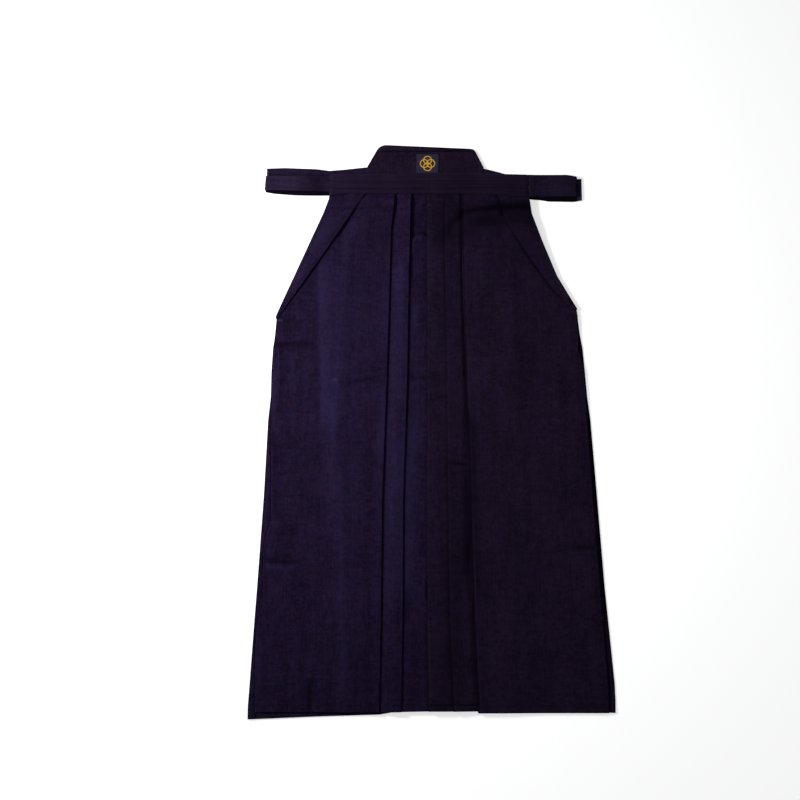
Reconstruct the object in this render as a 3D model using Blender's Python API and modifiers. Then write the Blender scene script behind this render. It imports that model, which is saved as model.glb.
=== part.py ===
"""Hakama trousers laid flat with the front up, as closed solids.

Metres, +Z up. The garment lies on z = 0, with its waist towards +Y and its hem towards
-Y. Left and right are the viewer's, looking down on the front. Each cloth piece is an
open sheet through sections across the garment, and a Solidify modifier gives it its
wall, so every height below is that of the middle of a wall.
"""

import math

import bpy

MM = 0.001

# Walls, and the gap that pieces and folded layers keep
CLOTH = 1.0 * MM
TIE_WALL = 1.1 * MM
BOARD_WALL = 3.5 * MM
PATCH_WALL = 1.0 * MM
GAP = 0.3 * MM
LAYER = CLOTH + GAP
TIE_LAYER = TIE_WALL + GAP
FOLD_RADIUS = LAYER / 2
FOLD_STEPS = 4

# Heights of the layers: the back lies on the floor, the front on the back
BACK_FLOOR = CLOTH / 2
FRONT_FLOOR = BACK_FLOOR + LAYER
BACK_TIE_UNDER = TIE_WALL / 2
BACK_TIE_OVER = BACK_TIE_UNDER + TIE_LAYER
FRONT_TIE_UNDER = BACK_TIE_OVER + TIE_LAYER
FRONT_TIE_OVER = FRONT_TIE_UNDER + TIE_LAYER
BAND_UNDER = FRONT_TIE_UNDER + TIE_WALL / 2 + GAP + CLOTH / 2
WAIST_LIFT = BAND_UNDER + LAYER - FRONT_FLOOR

# Distances of the waist and the crotch from the middle of the garment
BOARD_FOOT = 471 * MM
BACK_TOP = BOARD_FOOT - GAP
FRONT_TOP = 469 * MM
BAND_FOOT = 438 * MM
LIFT_END = 300 * MM
CROTCH = 10 * MM
CROTCH_BLEND = 60 * MM
HEM = -517 * MM
HEM_BLEND = -300 * MM

# Pleats: how deep the outer ones fold under, and the share of a strip's width that
# the inner ones do
OUTER_DEPTH = 40 * MM
STRIP_SHARE = 0.85
PANEL_SLOPE = 100 * MM
SEAM_FROM_FOURTH = 14 * MM
BACK_FOLD_FROM_THIRD = 2 * MM
LEG_SEAM_LAP = 1.3 * MM

# Where the layers bend, from a fold's edge, in millimetres
FIRST_BENDS = (-100, -80, -62, -44, -28, -12, -8.4, -4.8, -1.2, 2.5)
THIRD_BENDS = (-12, -9, -6, -3, 0)
FOURTH_BENDS = (-12, -7, -2.5, 2.5, 7, 12, 18, 24)
FIFTH_BENDS = (-2.5, 1.2, 4.8, 8.4, 12, 28, 44, 62, 80, 100)
FAR = 400 * MM

# Distances of the sections across the garment from its middle, in millimetres
SECTIONS = (469, 450, 438, 425, 403, 378, 350, 320, 288, 250, 214, 186, 155, 111, 67, 10,
            -50, -110, -198, -287, -376, -450, -490, -517)

CLOTH_COLOUR = (0.016, 0.014, 0.028)
TIE_COLOUR = (0.019, 0.016, 0.032)
BOARD_COLOUR = (0.015, 0.013, 0.026)
PATCH_COLOUR = (0.075, 0.085, 0.14)


class Table:
    """Sizes in millimetres under named columns, straight between the rows."""

    def __init__(self, columns, rows):
        self.columns = columns
        self.rows = sorted(rows)

    def at(self, place, column):
        """Size in metres in one column, where the first column has this place."""
        index = self.columns.index(column)
        place = place / MM
        if place <= self.rows[0][0]:
            return self.rows[0][index] * MM
        for low, high in zip(self.rows, self.rows[1:]):
            if place <= high[0]:
                share = (place - low[0]) / (high[0] - low[0])
                return (low[index] + share * (high[index] - low[index])) * MM
        return self.rows[-1][index] * MM


# Fold edges of the five front pleats, from left to right
PLEATS = Table(
    ("y", "first", "second", "third", "fourth", "fifth"),
    [
        (469, -65, -36, -10, 24, 57),
        (420, -68.5, -37.5, -10, 23.5, 56.5),
        (373, -74, -39, -9.5, 22, 56.5),
        (300, -76, -41, -9, 23.5, 57.5),
        (97, -82, -44.5, -8, 27, 64),
        (-125, -90.5, -52, -8.5, 29.5, 71.5),
        (-346, -93, -53, -8, 32.5, 78.5),
        (-517, -96.5, -56, -5, 40.5, 86.5),
    ],
)

# Edges of the panels: the slits run down to the stops, and below them the back panels
# reach a little past the front ones
SIDES = Table(
    ("y", "back_left", "front_left", "front_right", "back_right"),
    [
        (471, -112.5, -186, 178.5, 95.5),
        (431, -139, -187, 179.5, 122),
        (403, -158, -198, 184, 141),
        (355, -190, -220.5, 202.5, 174),
        (288, -235, -251.5, 231, 219),
        (244, -264.5, -272, 257.8, 249),
        (214, -285, -285.5, 270, 269.5),
        (178, -288.5, -279.5, 271.5, 274.5),
        (155, -292, -279, 271.5, 279),
        (111, -294, -276, 281, 282),
        (67, -294.5, -277.5, 284, 285.5),
        (23, -299.5, -285, 285.5, 291),
        (-110, -306.5, -297, 295, 302),
        (-287, -319.5, -311, 309.5, 317),
        (-464, -334.5, -324, 324.5, 337),
        (-494, -338, -327, 327, 339),
        (-517, -339, -328.5, 328, 339),
    ],
)

# Lower ends of the cloth across the hem
HEMS = Table(
    ("x", "front", "back"),
    [
        (-340, -517.5, -528),
        (-280, -517.5, -523.5),
        (-213, -517, -523),
        (-96, -516, -520),
        (-56, -515, -513),
        (-5, -514, -512),
        (40, -514, -512),
        (86, -516.5, -512),
        (340, -517.5, -514),
    ],
)

# Inner edges of the slanted side folds, which narrow to nothing at the stops
SIDE_FOLDS = Table(
    ("y", "left", "right"),
    [
        (469, -100, 104),
        (431, -127.5, 122),
        (420, -135.5, 127),
        (373, -169.5, 147),
        (336, -196, 169.5),
        (300, -222, 195),
        (262, -249, 223),
        (222, -277.5, 264),
    ],
)
SIDE_FOLD_ENDS = {"left": 222 * MM, "right": 226 * MM}
SIDE_FOLD_COLUMNS = 4

# Upper and lower edges of the front band
BAND = Table(
    ("x", "foot", "top"),
    [
        (-187.2, 436, 474.9),
        (-159, 440.5, 474.9),
        (-58, 439, 476),
        (35, 438, 477),
        (127, 437, 475.5),
        (179.8, 434, 474.5),
    ],
)
BAND_LEFT = -187.2 * MM
BAND_RIGHT = 179.8 * MM
BAND_COLUMNS = 40
BAND_UNDER_FOOT = 446 * MM
BAND_SMOOTHING = 16 * MM
BAND_SLACK = 0.3 * MM

# Outline of the back board, with the radius of each corner
BOARD = (
    {"x": -113, "y": 471, "radius": 0},
    {"x": -118, "y": 490, "radius": 0},
    {"x": -95.5, "y": 528.6, "radius": 9},
    {"x": 80, "y": 520.5, "radius": 6},
    {"x": 96.8, "y": 488, "radius": 0},
    {"x": 96, "y": 471, "radius": 0},
)
BOARD_EDGE = 0.8 * MM
CORNER_STEPS = 5

PATCH = {"x": -6.9 * MM, "y": 495.6 * MM, "width": 40.6 * MM, "height": 34.5 * MM}

# The ties' visible and returning stretches: edges and height at places along x
TIE_COLUMNS = ("x", "top", "bottom")
FRONT_TIE_START = 7.5 * MM
FRONT_TIE_SLOPE = 24 * MM
TIES = {
    "front_tie_left": {
        "start": -187.6, "fold": -304.5, "slant": -2.2, "end": -146,
        "over": Table(TIE_COLUMNS, [(-305, 474.3, 444.5), (-270, 474.9, 443.4),
                                    (-187, 474.9, 443)]),
        "under": Table(TIE_COLUMNS, [(-305, 474.0, 444), (-290, 473.5, 440.5),
                                     (-252, 473, 438.4), (-146, 473, 438.4)]),
        "heights": (FRONT_TIE_OVER, FRONT_TIE_UNDER),
    },
    "front_tie_right": {
        "start": 180.1, "fold": 268, "slant": 1.5, "end": 146,
        "over": Table(TIE_COLUMNS, [(180, 474.4, 435.5), (250, 474.6, 436),
                                    (268, 472, 436.5)]),
        "under": Table(TIE_COLUMNS, [(146, 473, 438), (250, 473, 438), (268, 472, 437)]),
        "heights": (FRONT_TIE_OVER, FRONT_TIE_UNDER),
    },
    "back_tie_left": {
        "start": -118.4, "fold": -302.5, "slant": -1, "end": -150,
        "over": Table(TIE_COLUMNS, [(-303, 486.5, 457), (-270, 487.6, 457.5),
                                    (-212, 485.5, 455.5), (-188, 482.3, 452.3),
                                    (-160, 484.5, 454.5), (-118, 489, 460)]),
        "under": Table(TIE_COLUMNS, [(-303, 486, 456.5), (-212, 483.5, 453.5),
                                     (-188, 480.5, 450.5), (-150, 481, 451)]),
        "heights": (BACK_TIE_OVER, BACK_TIE_UNDER),
    },
    "back_tie_right": {
        "start": 97.2, "fold": 276.5, "slant": 1, "end": 152,
        "over": Table(TIE_COLUMNS, [(97, 486.3, 450), (121, 480.5, 443),
                                    (140, 475, 437.5), (165, 470, 433),
                                    (193, 467.5, 429.8), (216, 465, 427),
                                    (262, 464.5, 426.3), (277, 466.5, 429)]),
        "under": Table(TIE_COLUMNS, [(152, 471, 433), (193, 467, 429),
                                     (262, 464, 427), (277, 466, 429)]),
        "heights": (BACK_TIE_OVER, BACK_TIE_UNDER),
    },
}
TIE_STEP = 14 * MM
TIE_ACROSS = (0, 0.5, 1)


def ramp(value, start, end):
    """Smooth rise from 0 where value is start to 1 where it is end."""
    share = min(max((value - start) / (end - start), 0), 1)
    return share * share * (3 - 2 * share)


def smooth_run(start, end, step):
    """Evenly spaced places from start to end, about a step apart."""
    count = max(1, round(abs(end - start) / step))
    return [start + (end - start) * index / count for index in range(count + 1)]


def fold_round(edge, side, first, last):
    """Points (place, height) round a fold whose outermost line is at edge.

    The fold turns from the first height to the last and bulges to side, 1 or -1.
    """
    middle = (first + last) / 2
    rise = (first - last) / 2
    points = []
    for step in range(1, FOLD_STEPS):
        angle = math.pi * step / FOLD_STEPS
        place = edge - side * FOLD_RADIUS * (1 - math.sin(angle))
        points.append((place, middle + rise * math.cos(angle)))
    return points


class Section:
    """Fold edges and layer heights across the garment, at one distance y.

    Every layer is straight between the same bends, so that layers stay parallel.
    """

    def __init__(self, y):
        self.y = y
        self.first = PLEATS.at(y, "first")
        self.second = PLEATS.at(y, "second")
        self.third = PLEATS.at(y, "third")
        self.fourth = PLEATS.at(y, "fourth")
        self.fifth = PLEATS.at(y, "fifth")
        self.seam = self.fourth - SEAM_FROM_FOURTH
        self.back_fold = self.third + BACK_FOLD_FROM_THIRD
        self.first_inner = self.first - OUTER_DEPTH
        self.second_inner = self.second - STRIP_SHARE * (self.second - self.first)
        self.fourth_inner = self.fourth + STRIP_SHARE * (self.fifth - self.fourth)
        self.fifth_inner = self.fifth + OUTER_DEPTH
        self.floor = FRONT_FLOOR + WAIST_LIFT * ramp(y, LIFT_END, BAND_FOOT)
        self.bends = [-FAR]
        for edge, steps in ((self.first, FIRST_BENDS), (self.third, THIRD_BENDS),
                            (self.fourth, FOURTH_BENDS), (self.fifth, FIFTH_BENDS)):
            self.bends += [edge + step * MM for step in steps]
        self.bends.append(FAR)

    def straight(self, height, x):
        """A smooth height made straight between the two bends round x."""
        for low, high in zip(self.bends, self.bends[1:]):
            if x <= high:
                share = (x - low) / (high - low)
                return height(low) + share * (height(high) - height(low))
        return height(x)

    def back_rise(self, x):
        """How far the layers over the back pleat are lifted by it."""
        def rise(place):
            return 2 * LAYER * ramp(place, self.third - 12 * MM, self.third)
        return self.straight(rise, x)

    def left_back(self, x):
        return BACK_FLOOR + self.back_rise(x)

    def second_strip(self, x):
        """The lowest front layer, which shows between the second and third folds."""
        return self.floor + self.back_rise(x)

    def first_strip(self, x):
        """The layer that shows between the first and second folds."""
        def rise(place):
            start = self.first - 12 * MM
            return 2 * LAYER * ramp(place, start, self.first + 2.5 * MM)
        return self.floor + self.straight(rise, x)

    def left_panel(self, x):
        top = self.first_strip(self.first) + 2 * LAYER - self.floor

        def rise(place):
            return top * ramp(place, self.first - PANEL_SLOPE, self.first)
        return self.floor + self.straight(rise, x)

    def third_strip(self, x):
        """The layer that shows between the third and fourth folds."""
        def rise(place):
            start = self.fourth + 12 * MM
            return 4 * LAYER * ramp(place, start, self.fourth - 12 * MM)
        return self.floor + self.straight(rise, x)

    def fourth_strip(self, x):
        """The layer that shows between the fourth and fifth folds."""
        spare = self.third_strip(self.fourth) - self.floor

        def rise(place):
            start = self.fifth + 12 * MM
            carried = 2 * LAYER * ramp(place, start, self.fifth - 2.5 * MM)
            return carried + spare * ramp(place, self.fifth, self.fourth)
        return self.floor + self.straight(rise, x)

    def right_panel(self, x):
        top = self.fourth_strip(self.fifth) + 2 * LAYER - self.floor

        def rise(place):
            return top * ramp(place, self.fifth + PANEL_SLOPE, self.fifth)
        return self.floor + self.straight(rise, x)

    def visible_top(self, x):
        """Height of the uppermost layer, the side folds included."""
        if x < self.first:
            on_fold = x < SIDE_FOLDS.at(self.y, "left")
            return self.left_panel(x) + LAYER * on_fold
        if x < self.second:
            return self.first_strip(x)
        if x < self.third:
            return self.second_strip(x)
        if x < self.fourth:
            return self.third_strip(x)
        if x < self.fifth:
            return self.fourth_strip(x)
        on_fold = x > SIDE_FOLDS.at(self.y, "right")
        return self.right_panel(x) + LAYER * on_fold

    def run(self, start, end, height, lift=0, extra=0):
        """Points along a layer, at its ends and at each bend between them.

        The outermost stretch is parted into some extra pieces, since it is wide.
        """
        low, high = min(start, end), max(start, end)
        places = [low] + [x for x in self.bends if low < x < high] + [high]
        if extra and start < 0:
            places[1:1] = smooth_spread(places[0], places[1], extra)
        elif extra:
            places[-1:-1] = smooth_spread(places[-2], places[-1], extra)
        if start > end:
            places.reverse()
        return [(x, height(x) + lift) for x in places]


def smooth_spread(start, end, count):
    """Places strictly between start and end, evenly spaced."""
    return [start + (end - start) * (i + 1) / (count + 1) for i in range(count)]


def pleat(points, edge, side, leaving, joining):
    """Adds the fold at edge between two layers, each given as its height and lift."""
    turn = edge - side * FOLD_RADIUS
    first = leaving[0](turn) + leaving[1]
    last = joining[0](turn) + joining[1]
    points += fold_round(edge, side, first, last)


def front_left_path(section):
    """From the left side to the centre seam, through two pleats."""
    r = FOLD_RADIUS
    s = section
    points = s.run(SIDES.at(s.y, "front_left"), s.first - r, s.left_panel, extra=2)
    pleat(points, s.first, 1, (s.left_panel, 0), (s.first_strip, LAYER))
    points += s.run(s.first - r, s.first_inner + r, s.first_strip, lift=LAYER)
    pleat(points, s.first_inner, -1, (s.first_strip, LAYER), (s.first_strip, 0))
    points += s.run(s.first_inner + r, s.second - r, s.first_strip)
    pleat(points, s.second, 1, (s.first_strip, 0), (s.second_strip, LAYER))
    points += s.run(s.second - r, s.second_inner + r, s.second_strip, lift=LAYER)
    pleat(points, s.second_inner, -1, (s.second_strip, LAYER), (s.second_strip, 0))
    points += s.run(s.second_inner + r, s.seam, s.second_strip)
    return points


def leg_seam_path(section):
    """The end of the right front panel, which turns down over the left one's edge.

    Below the crotch it reaches the right back panel and closes the right leg.
    """
    wall = section.seam + GAP + CLOTH / 2
    top = section.second_strip(section.seam) + LAYER
    above = top - LAYER
    below = BACK_FLOOR + LAYER + CLOTH / 2 + GAP
    foot = above + (below - above) * ramp(section.y, CROTCH + CROTCH_BLEND, CROTCH)
    return [
        (section.seam - CLOTH / 2, top),
        (wall - 0.1 * MM, top - 0.25 * MM),
        (wall, top - 0.7 * MM),
        (wall, foot),
    ]


def front_right_path(section):
    """From the right side to the centre seam, through three pleats."""
    r = FOLD_RADIUS
    s = section
    points = s.run(SIDES.at(s.y, "front_right"), s.fifth + r, s.right_panel, extra=2)
    pleat(points, s.fifth, -1, (s.right_panel, 0), (s.fourth_strip, LAYER))
    points += s.run(s.fifth + r, s.fifth_inner - r, s.fourth_strip, lift=LAYER)
    pleat(points, s.fifth_inner, 1, (s.fourth_strip, LAYER), (s.fourth_strip, 0))
    points += s.run(s.fifth_inner - r, s.fourth + r, s.fourth_strip)
    pleat(points, s.fourth, -1, (s.fourth_strip, 0), (s.third_strip, LAYER))
    points += s.run(s.fourth + r, s.fourth_inner - r, s.third_strip, lift=LAYER)
    pleat(points, s.fourth_inner, 1, (s.third_strip, LAYER), (s.third_strip, 0))
    points += s.run(s.fourth_inner - r, s.third + r, s.third_strip)
    pleat(points, s.third, -1, (s.third_strip, 0), (s.second_strip, LAYER))
    points.append((s.third + r, s.second_strip(s.third + r) + LAYER))
    points += leg_seam_path(s)
    return points


def back_left_path(section):
    """From the left side over the back pleat to the centre seam."""
    start = SIDES.at(section.y, "back_left")
    inner = [x for x in section.bends if section.third - 13 * MM < x < section.seam]
    places = [start] + smooth_spread(start, inner[0], 6) + inner + [section.seam]
    return [(x, section.left_back(x)) for x in places]


def back_right_path(section):
    """From the right side to the back pleat's fold, and back under it to the seam."""
    r = FOLD_RADIUS
    start = SIDES.at(section.y, "back_right")
    turn = section.back_fold + r
    over = BACK_FLOOR + LAYER
    points = [(start, BACK_FLOOR)]
    points += [(x, BACK_FLOOR) for x in smooth_spread(start, turn, 7)]
    points.append((turn, BACK_FLOOR))
    points += fold_round(section.back_fold, -1, BACK_FLOOR, over)
    end = section.seam + LEG_SEAM_LAP
    points += [(turn, over), ((turn + end) / 2, over), (end, over)]
    return points


def hem_shift(x, y, side):
    """How far the cloth at x reaches past the hem's own line, fading upward."""
    return (HEMS.at(x, side) - HEM) * ramp(y, HEM_BLEND, HEM)


def panel_rows(path, side, top):
    """Rows of points from the waist to the hem, one for each section."""
    rows = []
    for size in SECTIONS:
        section = Section(size * MM)
        y = top if size == SECTIONS[0] else section.y
        rows.append([(x, y + hem_shift(x, y, side), z) for x, z in path(section)])
    return rows


def side_fold_rows(side):
    """Rows of the slanted fold that lies on a panel beside its slit."""
    edge = "front_" + side
    end = SIDE_FOLD_ENDS[side]
    heights = [size * MM for size in SECTIONS if size * MM > end] + [end]
    rows = []
    for y in heights:
        section = Section(y)
        panel = section.left_panel if side == "left" else section.right_panel
        places = [SIDES.at(y, edge), SIDE_FOLDS.at(y, side)]
        bends = [x for x in section.bends if min(places) < x < max(places)]
        gaps = smooth_run(places[0], places[1], abs(places[1] - places[0]) / SIDE_FOLD_COLUMNS)
        rise = max([0] + [panel(x) - straight_between(gaps, panel, x) for x in bends])
        rows.append([(x, y, panel(x) + LAYER + rise) for x in gaps])
    return rows


def straight_between(places, height, x):
    """Height at x of straight stretches between the given places."""
    for low, high in zip(places, places[1:]):
        if min(low, high) <= x <= max(low, high):
            share = (x - low) / (high - low)
            return height(low) + share * (height(high) - height(low))
    return height(x)


def band_height(x):
    """Smooth height of the band over the pleats, never below them."""
    section = Section(450 * MM)
    steps = [BAND_SMOOTHING * step / 6 for step in range(-6, 7)]
    tops = [max(section.visible_top(x + u + v) for v in steps) for u in steps]
    return sum(tops) / len(tops) + LAYER + BAND_SLACK


def band_rows():
    """Rows of the front band, from its foot over the front's top and back under it."""
    rows = []
    for x in smooth_run(BAND_LEFT, BAND_RIGHT, (BAND_RIGHT - BAND_LEFT) / BAND_COLUMNS):
        over = band_height(x)
        foot = BAND.at(x, "foot")
        radius = (over - BAND_UNDER) / 2
        turn = BAND.at(x, "top") - radius
        row = [(foot, over), ((foot + turn) / 2, over), (turn, over)]
        for step in range(1, 2 * FOLD_STEPS):
            angle = math.pi * step / (2 * FOLD_STEPS)
            height = BAND_UNDER + radius * (1 + math.cos(angle))
            row.append((turn + radius * math.sin(angle), height))
        row += [(turn, BAND_UNDER), (BAND_UNDER_FOOT, BAND_UNDER)]
        rows.append([(x, y, z) for y, z in row])
    return rows


def tie_rows(tie):
    """Rows across a tie, out to its fold and back behind."""
    over, under = tie["heights"]
    side = 1 if tie["fold"] > tie["start"] else -1
    fold = tie["fold"] * MM
    radius = TIE_LAYER / 2
    turn = fold - side * radius
    start = tie["start"] * MM
    joined = over == FRONT_TIE_OVER
    rows = []
    for x in smooth_run(start, turn, TIE_STEP):
        rise = (FRONT_TIE_START - over) * joined * ramp(abs(x - start), FRONT_TIE_SLOPE, 0)
        rows.append(tie_row(tie, "over", x, over + rise))
    for step in range(1, FOLD_STEPS):
        angle = math.pi * step / FOLD_STEPS
        x = turn + side * radius * math.sin(angle)
        z = (over + under) / 2 + radius * math.cos(angle)
        rows.append(tie_row(tie, "over", x, z))
    for x in smooth_run(turn, tie["end"] * MM, TIE_STEP):
        rows.append(tie_row(tie, "under", x, under))
    return rows


def tie_row(tie, stretch, x, z):
    """Points across a tie, slanted near its fold."""
    top = tie[stretch].at(x, "top")
    bottom = tie[stretch].at(x, "bottom")
    near = ramp(abs(x - tie["fold"] * MM), 30 * MM, 0)
    points = []
    for share in TIE_ACROSS:
        shift = tie["slant"] * MM * near * share
        points.append((x + shift, top + share * (bottom - top), z))
    return points


def rounded_outline(corners):
    """Outline through the corners, each rounded by an arc of its own radius."""
    points = []
    for index, corner in enumerate(corners):
        here = (corner["x"] * MM, corner["y"] * MM)
        radius = corner["radius"] * MM
        if not radius:
            points.append(here)
            continue
        before = corners[index - 1]
        after = corners[(index + 1) % len(corners)]
        start = towards(here, before, radius)
        end = towards(here, after, radius)
        for step in range(CORNER_STEPS + 1):
            t = step / CORNER_STEPS
            weights = ((1 - t) ** 2, 2 * t * (1 - t), t ** 2)
            points.append(tuple(
                weights[0] * start[axis] + weights[1] * here[axis] + weights[2] * end[axis]
                for axis in (0, 1)))
    return points


def towards(here, corner, distance):
    """The point at a distance from here on the way to a corner."""
    dx = corner["x"] * MM - here[0]
    dy = corner["y"] * MM - here[1]
    length = math.hypot(dx, dy)
    return (here[0] + dx * distance / length, here[1] + dy * distance / length)


def clear_scene():
    for item in list(bpy.data.objects):
        bpy.data.objects.remove(item, do_unlink=True)


def make_collection(name):
    collection = bpy.data.collections.new(name)
    bpy.context.scene.collection.children.link(collection)
    return collection


def make_material(name, colour, roughness):
    material = bpy.data.materials.new(name)
    material.use_nodes = True
    shader = material.node_tree.nodes["Principled BSDF"]
    shader.inputs["Base Color"].default_value = (*colour, 1)
    shader.inputs["Roughness"].default_value = roughness
    shader.inputs["Metallic"].default_value = 0
    return material


def sheet(name, rows, wall, colour, collection):
    """An open sheet through rows of points, with its wall from Solidify."""
    count = len(rows[0])
    points = [point for row in rows for point in row]
    faces = []
    for r in range(len(rows) - 1):
        for i in range(count - 1):
            low = r * count + i
            faces.append((low, low + 1, low + count + 1, low + count))
    mesh = bpy.data.meshes.new(name)
    mesh.from_pydata(points, [], faces)
    mesh.update()
    mesh.shade_smooth()
    item = bpy.data.objects.new(name, mesh)
    collection.objects.link(item)
    item.data.materials.append(make_material(name, colour, 0.85))
    solid = item.modifiers.new("wall", "SOLIDIFY")
    solid.thickness = wall
    solid.offset = 0
    return item


def build_board(collection):
    """The stiff board over the back, a flat outline with rounded edges."""
    curve = bpy.data.curves.new("back_board", "CURVE")
    curve.dimensions = "2D"
    curve.fill_mode = "BOTH"
    curve.extrude = BOARD_WALL / 2
    outline = rounded_outline(BOARD)
    spline = curve.splines.new("POLY")
    spline.points.add(len(outline) - 1)
    for point, (x, y) in zip(spline.points, outline):
        point.co = (x, y, 0, 1)
    spline.use_cyclic_u = True
    board = bpy.data.objects.new("back_board", curve)
    board.location.z = BOARD_WALL / 2
    collection.objects.link(board)
    board.data.materials.append(make_material("back_board", BOARD_COLOUR, 0.8))
    weld = board.modifiers.new("joined", "WELD")
    weld.merge_threshold = 0.00005
    edge = board.modifiers.new("edge", "BEVEL")
    edge.width = BOARD_EDGE
    edge.segments = 2
    edge.limit_method = "ANGLE"
    return board


def build_patch(collection):
    """The woven patch, which lies on the board."""
    bpy.ops.mesh.primitive_cube_add(size=1)
    patch = bpy.context.active_object
    patch.name = "label_patch"
    patch.data.name = "label_patch"
    for owner in list(patch.users_collection):
        owner.objects.unlink(patch)
    collection.objects.link(patch)
    patch.data.transform(((PATCH["width"], 0, 0, 0), (0, PATCH["height"], 0, 0),
                          (0, 0, PATCH_WALL, 0), (0, 0, 0, 1)))
    patch.location = (PATCH["x"], PATCH["y"], BOARD_WALL + GAP + PATCH_WALL / 2)
    patch.data.materials.append(make_material("label_patch", PATCH_COLOUR, 0.6))
    edge = patch.modifiers.new("edge", "BEVEL")
    edge.width = 0.25 * MM
    edge.segments = 2
    return patch


def build():
    clear_scene()
    hakama = make_collection("hakama trousers")
    sheet("front_left", panel_rows(front_left_path, "front", FRONT_TOP), CLOTH,
          CLOTH_COLOUR, hakama)
    sheet("front_right", panel_rows(front_right_path, "front", FRONT_TOP), CLOTH,
          CLOTH_COLOUR, hakama)
    sheet("back_left", panel_rows(back_left_path, "back", BACK_TOP), CLOTH,
          CLOTH_COLOUR, hakama)
    sheet("back_right", panel_rows(back_right_path, "back", BACK_TOP), CLOTH,
          CLOTH_COLOUR, hakama)
    for side in ("left", "right"):
        sheet("side_fold_" + side, side_fold_rows(side), CLOTH, CLOTH_COLOUR, hakama)
    sheet("front_band", band_rows(), CLOTH, TIE_COLOUR, hakama)
    for name, tie in TIES.items():
        sheet(name, tie_rows(tie), TIE_WALL, TIE_COLOUR, hakama)
    build_board(hakama)
    build_patch(hakama)


build()
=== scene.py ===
import math

import bpy
import numpy as np
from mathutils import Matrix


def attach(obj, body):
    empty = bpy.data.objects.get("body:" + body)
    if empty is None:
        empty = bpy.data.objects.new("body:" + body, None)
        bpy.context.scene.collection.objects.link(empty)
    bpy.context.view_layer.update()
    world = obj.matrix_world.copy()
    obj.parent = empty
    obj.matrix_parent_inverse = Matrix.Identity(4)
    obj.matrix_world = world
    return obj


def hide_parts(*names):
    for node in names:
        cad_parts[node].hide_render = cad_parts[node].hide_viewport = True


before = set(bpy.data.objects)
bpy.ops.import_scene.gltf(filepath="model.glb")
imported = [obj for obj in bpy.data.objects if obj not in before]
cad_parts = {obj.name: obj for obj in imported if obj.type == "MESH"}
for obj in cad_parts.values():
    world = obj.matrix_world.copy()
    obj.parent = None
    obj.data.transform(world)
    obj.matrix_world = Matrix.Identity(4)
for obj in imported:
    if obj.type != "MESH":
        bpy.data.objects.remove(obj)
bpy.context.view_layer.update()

MM = 0.001

# Walls of what is seen, and the distances that the solids keep between layers
WALL = 0.8 * MM
TIE_WALL = 1.0 * MM
LAYER = 1.3 * MM
FOLD_RADIUS = LAYER / 2
FOLD_STEPS = 6
BACK_FLOOR = 0.5 * MM
FRONT_FLOOR = 1.8 * MM
BACK_TIE_UNDER = 0.55 * MM
BACK_TIE_OVER = 1.95 * MM
FRONT_TIE_UNDER = 3.35 * MM
FRONT_TIE_OVER = 4.75 * MM
BAND_UNDER = 4.7 * MM
WAIST_LIFT = 4.2 * MM

# Distances of the waist, the crotch and the hem from the middle of the garment
FRONT_TOP = 469 * MM
BACK_TOP = 470.7 * MM
BAND_FOOT = 438 * MM
LIFT_END = 300 * MM
CROTCH = 10 * MM
CROTCH_BLEND = 60 * MM
HEM = -517 * MM
HEM_BLEND = -300 * MM
HEM_DEPTH = 12 * MM
HEM_PROUD = 0.45 * MM
HEM_GROOVE = 0.35 * MM
HEM_GROOVE_REACH = 1.4 * MM
HEM_LIFT = 0.35 * MM
HEM_LIFTED = (40 * MM, 15 * MM)

# Stretches of y over which a thing sets in, from none of it to all of it
BELOW_BAND = (437 * MM, 428 * MM)
BELOW_SLIT = (226 * MM, 212 * MM)
FIRST_LOOSE = (365 * MM, 415 * MM)
SECOND_LOOSE = (250 * MM, 340 * MM)
BACK_CREASED = (400 * MM, 360 * MM)
ROLLED = (200 * MM, 150 * MM)
ROLLED_MORE = (-330 * MM, -150 * MM)

# How deep the pleats fold under, and how far a strip's hidden part reaches
OUTER_DEPTH = 40 * MM
SECOND_SHARE = 0.42
FOURTH_SHARE = 0.8
FOURTH_SHARE_GAPING = 0.58
FIFTH_GAPE_AT = -150 * MM
FIFTH_GAPE_REACH = 130 * MM
PILE_SLOPE = 56 * MM
FOLD_PUFF = 1.7 * MM
PUFF_REACH = 9 * MM
SEAM_FROM_FOURTH = 14 * MM
BACK_FOLD_FROM_THIRD = 2 * MM
LEG_SEAM_LAP = 1.3 * MM
LEG_SEAM_GAP = 0.3 * MM
# Where the columns of points lie closer: beside a pleat's fold, and along a side edge
COARSE_END = 3 * MM
FINE_START = 2.4 * MM
SIDE_STRIP = 20 * MM
# How far folds and edges are worn paler, across the cloth
FOLD_WEAR_REACH = 1.6 * MM
EDGE_WEAR_REACH = 2.5 * MM
LEFT_FOLD_WEAR = 0.25

# Distances between the rows of points down the garment
WAIST_STEP = 3.2 * MM
LEG_STEP = 4.4 * MM
HEM_STEP = 1.5 * MM
HEM_ROWS_FROM = -493 * MM


class Table:
    """Sizes in millimetres under named columns, straight between the rows."""

    def __init__(self, columns, rows):
        self.columns = columns
        self.rows = np.array(sorted(rows), float)

    def at(self, place, column):
        """Sizes in metres in one column, where the first column has these places."""
        index = self.columns.index(column)
        return np.interp(np.asarray(place) / MM, self.rows[:, 0], self.rows[:, index]) * MM


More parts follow.
